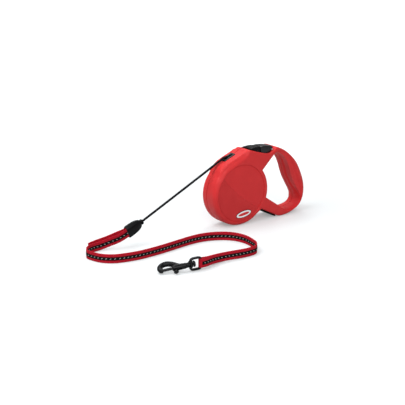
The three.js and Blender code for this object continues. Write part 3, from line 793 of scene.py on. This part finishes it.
def shell(name, side, seam, inner, relief, features, material):
    """One half of the casing: a crowned face with its relief, the walls down to the
    seam with a small groove there, and the hollow behind it."""
    falls = (1.0, 99.0) if side < 0 else (0.8, 8.4)
    outer = Border(OUTER, OUTER_EDGE if side < 0 else REAR_EDGE, True, *falls)
    opening = Border(OPENING, OPENING_EDGE, False, *falls)

    def drop(points):
        return np.maximum(outer.drop(points), opening.drop(points)) + relief(points)

    def lift(points):
        return side * (HALF - drop(points))

    shape = Shape()
    loops = []
    for border in (outer, opening):
        loops.append(shape.add(at_depth(border.points, side * (HALF - border.fall))))
    fixed = np.vstack([outer.rings(), opening.rings()])
    clear = np.vstack(features)
    fixed = thinned(fixed[in_casing(fixed)], clear, 0.55)
    lattice = np.array([
        (x + (1.3 if row % 2 else 0), z)
        for row, z in enumerate(np.arange(-47, 62, 2.25))
        for x in np.arange(-47, 120, 2.6)
    ])
    lattice = lattice[in_casing(lattice)]
    distance = np.minimum(outer.measure(lattice)[0], opening.measure(lattice)[0])
    lattice = thinned(lattice[distance > 1.2], np.vstack([fixed, clear]), 1.0)
    extra, lines = [], []
    for ring in features:
        start = len(extra)
        extra += ring.tolist()
        closed = np.linalg.norm(ring[0] - ring[-1]) < 3
        lines += [(start + i, start + i + 1) for i in range(len(ring) - 1)]
        if closed:
            lines.append((start + len(ring) - 1, start))
    extra += fixed.tolist() + lattice.tolist()
    shape.fill(loops, extra, lift, lines)
    rims = []
    for border, loop in zip((outer, opening), loops):
        edge_y = side * (HALF - border.fall)
        near_seam = seam + side * 0.7
        previous = loop
        for share in (0.25, 0.5, 0.75, 1.0):
            y = edge_y + (near_seam - edge_y) * share
            row = shape.add(at_depth(border.points, y))
            shape.strip(previous, row)
            previous = row
        row = shape.add(at_depth(border.points + border.inward * 0.9, seam))
        shape.strip(previous, row)
        rims.append(row)
    hollow = []
    for border in (outer, opening):
        moved = border.points + border.inward * 1.4
        hollow.append(moved[border.measure(moved)[0] > 1.3][::2])
    backs = [shape.add(at_depth(loop, seam)) for loop in hollow]
    floors = [shape.add(at_depth(loop, inner)) for loop in hollow]
    shape.fill([rims[0], backs[0]], [], level(seam))
    shape.fill([backs[1], rims[1]], [], level(seam))
    for back, floor in zip(backs, floors):
        shape.strip(back, floor)
    shape.fill(floors, [], level(inner))
    return shape.build(name, material)


def box_at(name, size, middle, tilt=0.0):
    """A block cutter, tilted about Y."""
    mesh = bpy.data.meshes.new(name)
    with edited(mesh) as work:
        bmesh.ops.create_cube(work, size=1.0)
    mesh.transform(Matrix.Diagonal((*[s * MM for s in size], 1)))
    mesh.transform(Matrix.Rotation(tilt, 4, "Y"))
    mesh.transform(Matrix.Translation(Vector(middle) * MM))
    mesh.materials.append(RED)
    return link(name, mesh)


WELL_HALF = 12.6
WELL = [(20.2, 70), (20.2, 53), (36, 44), (54.4, 44), (55.4, 52.4), (59, 58), (62, 70)]


def open_top(obj):
    """Cuts the button's well and the outlet's seat out of a shell."""
    well = slab("well", np.array(WELL, float), -WELL_HALF, WELL_HALF, 0.0, RED, steps=1)
    seat = box_at("seat", (20.6, 10.2, 4.3), OUTLET_AT, -DECK_TILT)
    return carve(obj, joined("cutters", [well, seat]))


def crease_run(offset):
    """A run of points beside the crease, inside the panel."""
    radius = CREASE_R + UPPER * offset
    ends = [math.atan2(p[1] - CREASE_AT[1], p[0] - CREASE_AT[0]) for p in (CREASE[0], CREASE[2])]
    if abs(ends[1] - ends[0]) > math.pi:
        ends[0 if ends[0] < ends[1] else 1] += 2 * math.pi
    middle = sum(ends) / 2
    half = abs(ends[1] - ends[0]) / 2 * 1.15
    angles = np.linspace(middle - half, middle + half, 90)
    run = np.stack([CREASE_AT[0] + radius * np.cos(angles), CREASE_AT[1] + radius * np.sin(angles)], 1)
    return run[np.hypot(run[:, 0], run[:, 1]) < PANEL_GROOVE[0] - 0.5]


panel_radii = sorted([*PANEL_GROOVE, PANEL_STEP - 0.01, PANEL_STEP + 0.02])
front_features = [ring_of(r, 200) for r in panel_radii] + [crease_run(0.0), crease_run(0.12)]
rear_features = [ring_of(r, 200) for r in REAR_GROOVE]
for centre in SCREWS:
    rear_features += [ring_of(SCREW_RECESS + out, 28, centre) for out in (-0.03, 0.01, 0.3)]

front = shell("casing_front", -1, SEAM - 0.15, -13.0, front_relief, front_features, RED)
rear = shell("casing_rear", 1, SEAM + 0.15, 12.5, rear_relief, rear_features, RED)
for piece in (front, rear):
    open_top(piece)
    shade(piece.data, 42)
# The panel's faces below the crease take the darker red, which is painted shade on that side of the crease.
front.data.materials.append(RED_PANEL)
front.data.materials.append(RED_PANEL_SHADE)
for face in front.data.polygons:
    x, y, z = np.array(face.center) / MM
    if math.hypot(x, z) < PANEL_STEP - 0.1 and y < 1.6 - HALF:
        lower = beyond_crease(np.array([[x, z]]))[0] < 0
        face.material_index = 2 if lower else 1
attach(front, "casing", ["front_shell"])
attach(rear, "casing", ["rear_shell"])


def plate_ring(profile, tilt, middle, sides=72):
    """Rows of an oval piece on the badge face: profile is [half length, half height, y]."""
    rows = []
    c, s = math.cos(tilt), math.sin(tilt)
    for a, b, y in profile:
        x, z = a * np.cos(around(sides)), b * np.sin(around(sides))
        oval = np.stack([middle[0] + x * c - z * s, middle[1] + x * s + z * c], 1)
        rows.append(at_depth(oval, y))
    return rows


BADGE_TILT = math.radians(7)
BADGE_AT = (4, -30.5)
BADGE = [
    ("badge_rim", SATIN, ["badge"], [
        (13.45, 4.98, -15.1), (13.45, 4.98, -15.8), (13.2, 4.75, -16.0), (12.8, 4.4, -15.95),
        (12.6, 4.25, -15.7),
    ]),
    ("badge_band", WHITE, [], [
        (12.7, 4.3, -15.3), (12.7, 4.3, -15.9), (12.2, 3.95, -16.05), (10.4, 2.5, -16.1),
        (9.7, 2.0, -15.9),
    ]),
    ("badge_core", RED, [], [
        (9.8, 2.1, -15.3), (9.8, 2.1, -15.9), (9.4, 1.85, -16.15), (7, 1.3, -16.25), (2, 0.4, -16.3),
    ]),
]
for name, material, nodes, profile in BADGE:
    plate = grid(name, plate_ring(profile, BADGE_TILT, BADGE_AT), material)
    attach(plate, "casing", nodes)


def rect_ring(length, width, height, corner, steps=5):
    """A rounded rectangle's loop of points at one height, in a plane of its own."""
    return [(x, y, height) for x, y in rounded(rectangle(length, width), corner, steps)]


DECK = Matrix.Translation(Vector(OUTLET_AT) * MM) @ Matrix.Rotation(-DECK_TILT, 4, "Y")
outlet = grid("outlet", [
    rect_ring(20, 9.6, -1.9, 0.8), rect_ring(20, 9.6, 1.5, 0.8), rect_ring(19.7, 9.3, 1.88, 0.8),
    rect_ring(19.2, 8.8, 2.05, 0.8), rect_ring(14.4, 5.4, 2.05, 1.6), rect_ring(13.8, 4.8, 1.9, 1.5),
    rect_ring(13.2, 4.3, 1.3, 1.4), rect_ring(13, 4.2, -1.5, 1.3),
], BLACK)
outlet.data.transform(DECK)
attach(outlet, "casing", ["cord_outlet"])

pad_outline = rounded([(51.8, -36.9), (64.4, -43.2), (64.8, -46.0), (58, -43.1), (51.8, -39.8)], 0.5)
pad = slab("underside_pad", pad_outline[::-1], -13, 12, 0.6, PAD)
attach(pad, "casing", ["handle_foot"])


# ------------------------------------------------------------------ brake button and lock


def key_piece(name, outline, half, crown, material):
    """A key that spans the well: rounded over at both ends and crowned between them."""
    top = max(z for x, z in outline)
    rows = [(0.6, -half), (0.3, -half + 0.08), (0.1, -half + 0.25), (0.0, -half + 0.6)]
    rows += [(0.0, y) for y in np.linspace(-half + 3.5, half - 3.5, 7)]
    rows += [(inset, -y) for inset, y in reversed(rows[:4])]
    sections = []
    for inset, y in rows:
        sag = crown * (max(y + 2, 0) / (half + 2)) ** 2 + 0.8 * (min(y + 2, 0) / (half - 2)) ** 2
        ring = shrunk(outline, inset)
        lower = np.clip((ring[:, 1] - (top - 6)) / 6, 0, 1)
        sections.append([(x, y, z - sag * w) for (x, z), w in zip(ring, lower)])
    return grid(name, sections, material)


KEY_HALF = 12.2
key_outline = rounded([
    (35.9, 61.3), (36.2, 50), (40, 47.2), (49, 47.6), (52.4, 50.2), (56.9, 56.2),
    (58, 58.9), (54.4, 59.8), (47, 61.2), (40, 61.9),
], 1.3)
brake_key = key_piece("brake_key", key_outline, KEY_HALF, 4.5, BLACK)
attach(brake_key, "brake_key", ["brake_button"])
lock_outline = rounded([
    (18.4, 59.9), (24.6, 57.1), (24.6, 52.6), (34.4, 50.4), (34.4, 57), (33.8, 61.6), (28, 62.3), (22.5, 62),
], 0.9)
brake_lock = key_piece("brake_lock", lock_outline, KEY_HALF, 4.2, SATIN)
attach(brake_lock, "lock", ["lock_slider"])


# ------------------------------------------------------------------ cord and coupler


def frames(path, up):
    """Each point's direction, its up kept near the one given, and the third axis."""
    ahead = np.gradient(path, axis=0)
    ahead /= np.linalg.norm(ahead, axis=1)[:, None]
    lean = np.array([up(i) for i in range(len(path))], float)
    lean -= ahead * (lean * ahead).sum(1)[:, None]
    lean /= np.linalg.norm(lean, axis=1)[:, None]
    return ahead, lean, np.cross(lean, ahead)


def tube(name, path, radius, material, sides=16, up=(0, 1, 0)):
    """A round bar along a path. radius is one number or one per point."""
    path = np.asarray(path, float)
    radius = np.broadcast_to(radius, len(path))
    lean, across = frames(path, lambda i: up)[1:]
    angles = around(sides)
    rows = [
        p + r * (np.cos(angles)[:, None] * u + np.sin(angles)[:, None] * v)
        for p, r, u, v in zip(path, radius, lean, across)
    ]
    turns = np.linspace(0, 1, sides + 1)
    return grid(name, rows, material, along=lengths(path), across=turns)


leave = math.radians(64.8)
start = WOUND + CORD + 0.45
bend = [(-5.6, 47.6), (-9.4, 49.4), (-12.8, 50.3), (-16.6, 49.6), (-21, 47.6)]
cord_points = [(start * math.cos(leave), CORD_Y, start * math.sin(leave))]
cord_points += [(x, CORD_Y, z) for x, z in bend]
cord_end = (COUPLER_AT[0] + 3.4, CORD_Y, COUPLER_AT[2] + 1.7)
cord_points += [(-50, CORD_Y, 33.35), (-100, CORD_Y, 9.0), cord_end]
cord_path = spaced(centripetal(cord_points), 1.2)
cord = tube("cord_run", cord_path, CORD + 0.2, ROPE)
label(cord, ["cord"])
# the bend starts clear of the casing, so the slack hangs outside it when the coupler is near
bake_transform(cord)

COUPLER = Matrix.Translation(Vector(COUPLER_AT) * MM) @ Matrix.Rotation(COUPLER_TILT, 4, "Y")


def coupler_ring(x, wide, thick, inset=0.0):
    """A cross-section of the coupler: two faces on each side that meet in a ridge."""
    side = [(wide, -0.62), (-0.40 * wide, -1.0), (-0.62 * wide, -0.97), (-wide, -0.34)]
    back = [(-wide, 0.34), (-0.62 * wide, 0.97), (-0.40 * wide, 1.0), (wide, 0.62)]
    outline = rounded([(z, y * thick) for z, y in side + back], min(0.9, wide * 0.14), 3)
    outline = shrunk(outline, inset)
    return [(x, y, z) for z, y in outline]


spans = [
    (0.0, 2.5, 1.9), (0.25, 3.3, 2.4), (0.9, 4.3, 2.9), (2.2, 5.5, 3.4), (4.2, 6.6, 3.9), (7, 7.5, 4.3),
    (11, 8.2, 4.5), (16, 8.55, 4.5), (21, 8.6, 4.45), (23.2, 8.55, 4.4), (23.8, 8.35, 4.25),
    (24.0, 8.0, 3.95), (24.0, 8.0, 3.95, 0.5), (23.4, 7.9, 3.9, 0.75), (9, 7.4, 3.9, 0.8),
]
coupler_rows = [coupler_ring(*span) for span in spans]
coupler = grid("coupler", coupler_rows, SATIN, angle=24)
coupler.data.transform(COUPLER)
attach(coupler, "leash_end", ["coupler_front", "coupler_rear"])
collar = turned("collar", [
    (CORD + 0.3, -3.2), (2.6, -3.2), (2.9, -3.05), (3.3, -2.6), (3.7, -2.2), (3.8, -1.9), (3.8, -0.7),
    (3.65, -0.45), (CORD + 0.3, -0.4),
], SATIN, COUPLER)
attach(collar, "leash_end", ["cord_collar"])


# ------------------------------------------------------------------ webbing

on_floor = FLOOR + WEB_WIDTH / 2 + 0.2
bar_x, bar_y = EYE_BAR
bar_turn = 1.6 + 0.35 + WEB_THICK / 2
pin_turn = 0.9 + 0.35 + WEB_THICK / 2


def at_coupler(x, y):
    return np.array(COUPLER @ (Vector((x, y, 0)) * MM)) / MM


def flat(x, y, rise=0.0):
    return (x, y, on_floor + rise)


half_turn = np.radians([90, 60, 30, 0, -30, -60, -90])
bar_lift = EYE_Z - on_floor
tail_lines = [(-235.4, 8), (-227, 13.1, 1.2), (-214, 14.2, 3.1)]
loop_lines = [
    (-213, 11.5, 0.4), (-226, 10.3), (-236.2, 4.3), (-242, -6), (-239.7, -19.5), (-234.5, -30.8),
    (-223.5, -40.5), (-208, -45.5), (-190, -48), (-165.5, -47.2), (-145, -45), (-124, -42),
    (-103, -39.5), (-84, -40.2), (-68, -45.5), (-55, -54.5), (-47.5, -65.5), (-44, -80),
    (-45.5, -95), (-49.5, -109), (-58, -118.5), (-70, -121), (-84, -120.3, 0.2),
    (-100, -118.4, 0.6), (-117, -117.7, 1), (-130, -120.4, 1.9), (-141, -124.2, 2.7),
]
end_lines = [(-140, -119.8, 2.2), (-129, -117.2, 0.9), (-118, -115.3, 0.1), (-109, -115.6)]
web_points = [flat(*p) for p in tail_lines] + [(-201, 11, -34), (-189.5, 8, -30.4)]
web_points += [at_coupler(25, pin_turn + 0.1), at_coupler(14, pin_turn)]
web_points += [at_coupler(9 - pin_turn * math.cos(a), pin_turn * math.sin(a)) for a in half_turn]
web_points += [at_coupler(14, -pin_turn), at_coupler(25, -pin_turn), (-188, 4.5, -32.6), (-200, 8.3, -36.4)]
web_points += [flat(*p) for p in loop_lines]
web_points += [
    flat(bar_x - bar_turn * math.cos(a), bar_y - bar_turn * math.sin(a), bar_lift) for a in half_turn
]
web_points += [flat(*p) for p in end_lines]
web_path = spaced(centripetal(web_points), 0.9)
web_run = lengths(web_path)
pin_axis = np.array([-math.sin(COUPLER_TILT), 0, -math.cos(COUPLER_TILT)])


def web_lean(i):
    """Upright on the floor, and leaning with the coupler's pin inside the coupler."""
    t = min(max((web_run[i] / web_run[-1] - 0.16) / 0.075, 0), 1)
    t = t * t * (3 - 2 * t)
    return pin_axis * (1 - t) + np.array([0, 0, 1.0]) * t


WEB_AHEAD, WEB_UP, WEB_SIDE = frames(web_path, web_lean)


def web_band(name, first, last, width, thick, offset, material, bevel=0.3):
    """A stretch of flat band that follows the webbing's line, offset to one side of it."""
    chosen = np.flatnonzero((web_run >= first) & (web_run <= last))
    w, t = width / 2, thick / 2
    ring = rounded([(w, -t), (w, t), (-w, t), (-w, -t)], min(bevel, t * 0.95), 3)
    middle = np.linspace(-0.8, 0.8, 7) * w
    top = [(c, t) for c in middle[::-1]]
    bottom = [(c, -t) for c in middle]
    section = np.vstack([ring[:8], top, ring[8:], bottom])
    across = lengths(np.vstack([section, section[:1]]))
    rows = [
        web_path[i] + WEB_SIDE[i] * offset + section[:, :1] * WEB_UP[i] + section[:, 1:] * WEB_SIDE[i]
        for i in chosen
    ]
    return grid(name, rows, material, along=web_run[chosen], across=across)


web_total = web_run[-1]
strap = web_band("strap", 8, web_total, WEB_WIDTH, WEB_THICK, 0.0, WEBBING, 0.6)
attach(strap, "leash_end", ["webbing"])
tracer_off = WEB_THICK / 2 + 0.12
TRACERS = [
    ("tracer_far", "tracer_outer", 0.151, 0.921, tracer_off),
    ("tracer_near", "tracer_inner", 0.285, 0.845, -tracer_off),
]
for name, node, begin, end, offset in TRACERS:
    ribbon = web_band(name, begin * web_total, end * web_total, 4.4, 0.35, offset, TRACER, 0.12)
    attach(ribbon, "leash_end", [node])


def stitches(name, places, length, width, height, offset, turn, material):
    """Small raised stitches on a face of the webbing: places are [run, across]."""
    shape = Shape()
    outline = rounded(rectangle(length, width), width * 0.42, 2)
    c, s = math.cos(turn), math.sin(turn)
    for run, across in places:
        i = min(int(np.searchsorted(web_run, run)), len(web_path) - 1)
        base = web_path[i] + WEB_UP[i] * across + WEB_SIDE[i] * offset
        loops = []
        for grow, rise in ((1.0, -0.1), (1.0, 0.35 * height), (0.6, height)):
            ring = [
                base + WEB_AHEAD[i] * (u * c - v * s) * grow + WEB_UP[i] * (u * s + v * c) * grow
                + WEB_SIDE[i] * rise * np.sign(offset)
                for u, v in outline
            ]
            loops.append(shape.add(ring))
        shape.strip(loops[0], loops[1])
        shape.strip(loops[1], loops[2])
        shape.faces.append(tuple(loops[0]))
        shape.faces.append(tuple(loops[2]))
    return shape.build(name, material, 50)


for name, node, begin, end, offset in TRACERS:
    face = offset + math.copysign(0.17, offset)
    runs = np.arange(begin * web_total + 3, end * web_total - 2, 5.5)
    row = stitches(name + "_stitches", [(r, 0.0) for r in runs], 2.3, 0.95, 0.22, face, 0.5, THREAD)
    attach(row, "leash_end", [])

# the bar tacks that close the two sewn tails
tacks = []
for centre in (web_total * 0.95, web_total * 0.962, web_total * 0.985):
    tacks += [(centre, a) for a in np.arange(-4.8, 4.9, 0.8)]
for where, face in (("far", WEB_THICK / 2), ("near", -WEB_THICK / 2)):
    row = stitches("bar_tacks_" + where, tacks, 1.5, 0.5, 0.14, face, 0.12, SEWING)
    attach(row, "leash_end", [])


# ------------------------------------------------------------------ bolt snap

EYE = Matrix.Translation(Vector((bar_x, bar_y, EYE_Z)) * MM) @ Matrix.Rotation(math.pi - EYE_YAW, 4, "Z")
SNAP = (
    EYE
    @ Matrix.Translation(Vector((EYE_LENGTH, 0, 0)) * MM)
    @ Matrix.Rotation(-(SNAP_YAW - EYE_YAW), 4, "Z")
    @ Matrix.Rotation(SNAP_DROP, 4, "Y")
    @ Matrix.Rotation(SNAP_ROLL, 4, "X")
)


def loop_bar(name, points, radius, material, flat_by=1.0, sides=16):
    """A bar bent into a closed loop in local X and Z."""
    path = spaced(points, 0.8, closed=True)
    angles = around(sides)
    rows = []
    for p, n in zip(path, left_of(path)):
        u, v = radius * np.cos(angles), radius * flat_by * np.sin(angles)
        rows.append(np.stack([p[0] + n[0] * u, v, p[1] + n[1] * u], 1))
    rows.append(rows[0])
    obj = grid(name, rows, material, caps=False)
    with edited(obj.data) as work:
        bmesh.ops.remove_doubles(work, verts=work.verts, dist=1e-6)
    return obj


high = EYE_HALF - 1.5
far = EYE_LENGTH
frame_path = rounded([(0, high), (far + 0.2, high), (far + 0.2, -high), (0, -high)], 4.5, 8)
eye_frame = loop_bar("frame", frame_path, 1.5, PLATED, 1.7)
hub_rows = [(0.01, -1.6), (4.4, -1.6), (4.8, -1.2), (4.8, 1.2), (4.4, 1.6), (0.01, 1.6)]
hub = turned("hub", [(r, far + h) for r, h in hub_rows], PLATED)
eye = cast(joined("eye", [eye_frame, hub]), 0.34, 3)
bore = turned("bore", [(0.01, far - 8), (2.3, far - 8), (2.3, far + 8), (0.01, far + 8)], PLATED, sides=28)
carve(eye, bore)
shade(eye.data, 50)
eye.data.transform(EYE)
attach(eye, "eye", ["swivel_eye"])

barrel = turned("barrel", [
    (0.01, 2.6), (2.9, 2.6), (3.3, 3.0), (3.3, 4.2), (3.1, 4.6), (3.1, 5.1), (3.5, 5.6), (3.7, 8), (3.9, 12),
    (4.0, 17), (3.9, 20.5), (3.5, 23), (0.01, 23),
], PLATED)
hook_points = [
    (10, -1.0), (14, -2.2), (18, -4.8), (22.5, -7.8), (29, -9.8), (35.2, -8), (38.3, -3.9),
    (37.6, -0.2), (35.2, 0.4),
]
hook_path = spaced(centripetal([(x, y, 0) for x, y in hook_points]), 0.8)
share = lengths(hook_path) / lengths(hook_path)[-1]
hook_radius = np.interp(share, [0, 0.25, 0.5, 0.8, 1.0], [2.5, 3.3, 3.5, 3.3, 3.0])
hook = tube("hook", hook_path, hook_radius, PLATED, sides=20, up=(0, 0, 1))
rest_pad = turned("rest", [(0.01, 20.5), (2.9, 20.5), (3.1, 21.5), (2.9, 23.1), (0.01, 23.3)], PLATED)
snap = cast(joined("snap", [barrel, hook, rest_pad]), 0.36, 3)
cutters = joined("cutters", [
    turned("bore", [(0.01, 5.5), (2.1, 5.5), (2.1, 25.5), (0.01, 25.5)], PLATED, sides=28),
    box_at("slit", (9.4, 6, 2.4), (16.9, 4.2, 0)),
    turned("socket", [(0.01, 30.6), (2.1, 30.6), (2.1, 36.6), (0.01, 36.6)], PLATED, sides=28),
])
carve(snap, cutters)
shade(snap.data, 50)
snap.data.transform(SNAP)
attach(snap, "snap", ["snap_body"])

stud = turned("stud", [
    (0.01, -6.2), (2.8, -6.2), (3.6, -5.8), (4.0, -5.0), (4.0, -4.1), (3.6, -3.3), (1.8, -3.1), (1.6, -2.8),
    (1.6, 3.2), (0.01, 3.2),
], PLATED, SNAP)
attach(stud, "snap", ["swivel_stud"])
bolt_rod = turned("rod", [
    (0.01, 12.6), (1.8, 12.6), (1.8, 35), (1.6, 35.5), (1.1, 35.9), (0.01, 35.9),
], PLATED)
ACROSS = Matrix.Translation((20 * MM, 0, 0)) @ Matrix.Rotation(math.pi / 2, 4, "Z")
stem = turned("stem", [(0.01, 1), (0.9, 1), (0.9, 6.4), (0.01, 6.4)], PLATED, ACROSS)
bolt = joined("bolt", [bolt_rod, stem])
shade(bolt.data)
bolt.data.transform(SNAP)
attach(bolt, "bolt", ["snap_bolt"])
knob = turned("knob", [
    (0.01, 6), (2.1, 6), (2.7, 6.2), (3.05, 6.6), (3.1, 7.1), (3.0, 7.6), (2.5, 8.1), (1.6, 8.4),
    (0.01, 8.45),
], PLATED, SNAP @ ACROSS)
attach(knob, "bolt", ["bolt_knob"])


# ------------------------------------------------------------------ carried-over pieces

FINISH = {
    "spool": NYLON, "spool_cover": NYLON, "spool_bush": BRASS, "wound_cord": PAD, "cord_knot": PAD,
}
for name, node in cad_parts.items():
    if node.hide_render:
        continue
    node.data.materials.clear()
    node.data.materials.append(FINISH.get(name, STEEL))
    if name.startswith("housing_screw"):
        edge = node.modifiers.new("edge", "BEVEL")
        edge.width = 0.18 * MM
        edge.segments = 2
        edge.limit_method = "ANGLE"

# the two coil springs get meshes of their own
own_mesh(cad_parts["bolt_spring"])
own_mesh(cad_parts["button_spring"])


# ------------------------------------------------------------------ floor, light, camera


def floor_material():
    """Pale and matte, glowing a little for the camera alone so that it runs out to white."""
    g = Graph("pale_floor")
    seen = g.node("ShaderNodeLightPath").outputs["Is Camera Ray"]
    away = g.node("ShaderNodeVectorMath", {0: g.place()}, operation="LENGTH").outputs["Value"]
    ramp = {"Value": away, "From Min": 0.2, "From Max": 0.8, "To Min": 0.3, "To Max": 0.95}
    glow = g.node("ShaderNodeMapRange", ramp).outputs["Result"]
    return g.finish(
        Base_Color=rgb(0.53, 0.56, 0.57),
        Roughness=0.7,
        Specular_IOR_Level=0.1,
        Emission_Color=rgb(1.0, 1.0, 1.0),
        Emission_Strength=g.math("MULTIPLY", seen, glow),
    )


mesh = bpy.data.meshes.new("floor")
span = 8.0
corners = [(x, y, 0) for x, y in ((-span, -span), (span, -span), (span, span), (-span, span))]
mesh.from_pydata(corners, [], [(0, 1, 2, 3)])
mesh.materials.append(floor_material())
floor = link("floor", mesh)
floor.location = (0, 0, FLOOR * MM)

world = bpy.data.worlds.new("studio")
world.use_nodes = True
background = world.node_tree.nodes["Background"]
background.inputs[0].default_value = rgb(1.0, 1.0, 1.0)
light_path = world.node_tree.nodes.new("ShaderNodeLightPath")
levels = world.node_tree.nodes.new("ShaderNodeMapRange")
world.node_tree.links.new(light_path.outputs["Is Camera Ray"], levels.inputs["Value"])
levels.inputs["To Min"].default_value = 0.42
levels.inputs["To Max"].default_value = 1.0
world.node_tree.links.new(levels.outputs["Result"], background.inputs[1])
bpy.context.scene.world = world
bpy.context.scene.view_settings.view_transform = "Standard"

AZIMUTH, ELEVATION = math.radians(-36.3), math.radians(17.0)
reach = math.cos(ELEVATION)
back = Vector((math.sin(AZIMUTH) * reach, -math.cos(AZIMUTH) * reach, math.sin(ELEVATION)))
right = Vector((math.cos(AZIMUTH), math.sin(AZIMUTH), 0))
above = back.cross(right)


def lamp(name, toward, distance, size, power, colour=(1, 1, 1)):
    """A soft square light on the side given by toward, aimed at the casing."""
    light = bpy.data.lights.new(name, "AREA")
    light.size = size
    light.energy = power
    light.color = colour
    obj = bpy.data.objects.new(name, light)
    bpy.context.scene.collection.objects.link(obj)
    direction = Vector(toward).normalized()
    obj.location = direction * distance
    obj.rotation_mode = "QUATERNION"
    obj.rotation_quaternion = direction.to_track_quat("Z", "Y")


lamp("key", -0.9 * right + 1.3 * above + 0.9 * back, 1.3, 0.9, 12)
lamp("fill", 0.2 * right + 0.35 * above + back, 1.6, 1.2, 12)
lamp("top", above * 1.6 - 0.3 * back, 1.2, 0.8, 6)

camera = bpy.data.objects.new("camera", bpy.data.cameras.new("camera"))
bpy.context.scene.collection.objects.link(camera)
camera.data.lens = 90
camera.data.sensor_width = 36
camera.data.clip_start = 0.05
camera.data.clip_end = 50
DISTANCE = 1.4175  # along the view, from the camera to the spool's centre
AIM_LEFT, AIM_BELOW = 0.0452, 0.0161  # how far beside that centre the view is aimed
centre = right * -AIM_LEFT + above * -AIM_BELOW + Vector((0, -HALF * MM, 0))
camera.location = centre + back * DISTANCE
camera.rotation_mode = "QUATERNION"
camera.rotation_quaternion = back.to_track_quat("Z", "Y")
bpy.context.scene.camera = camera
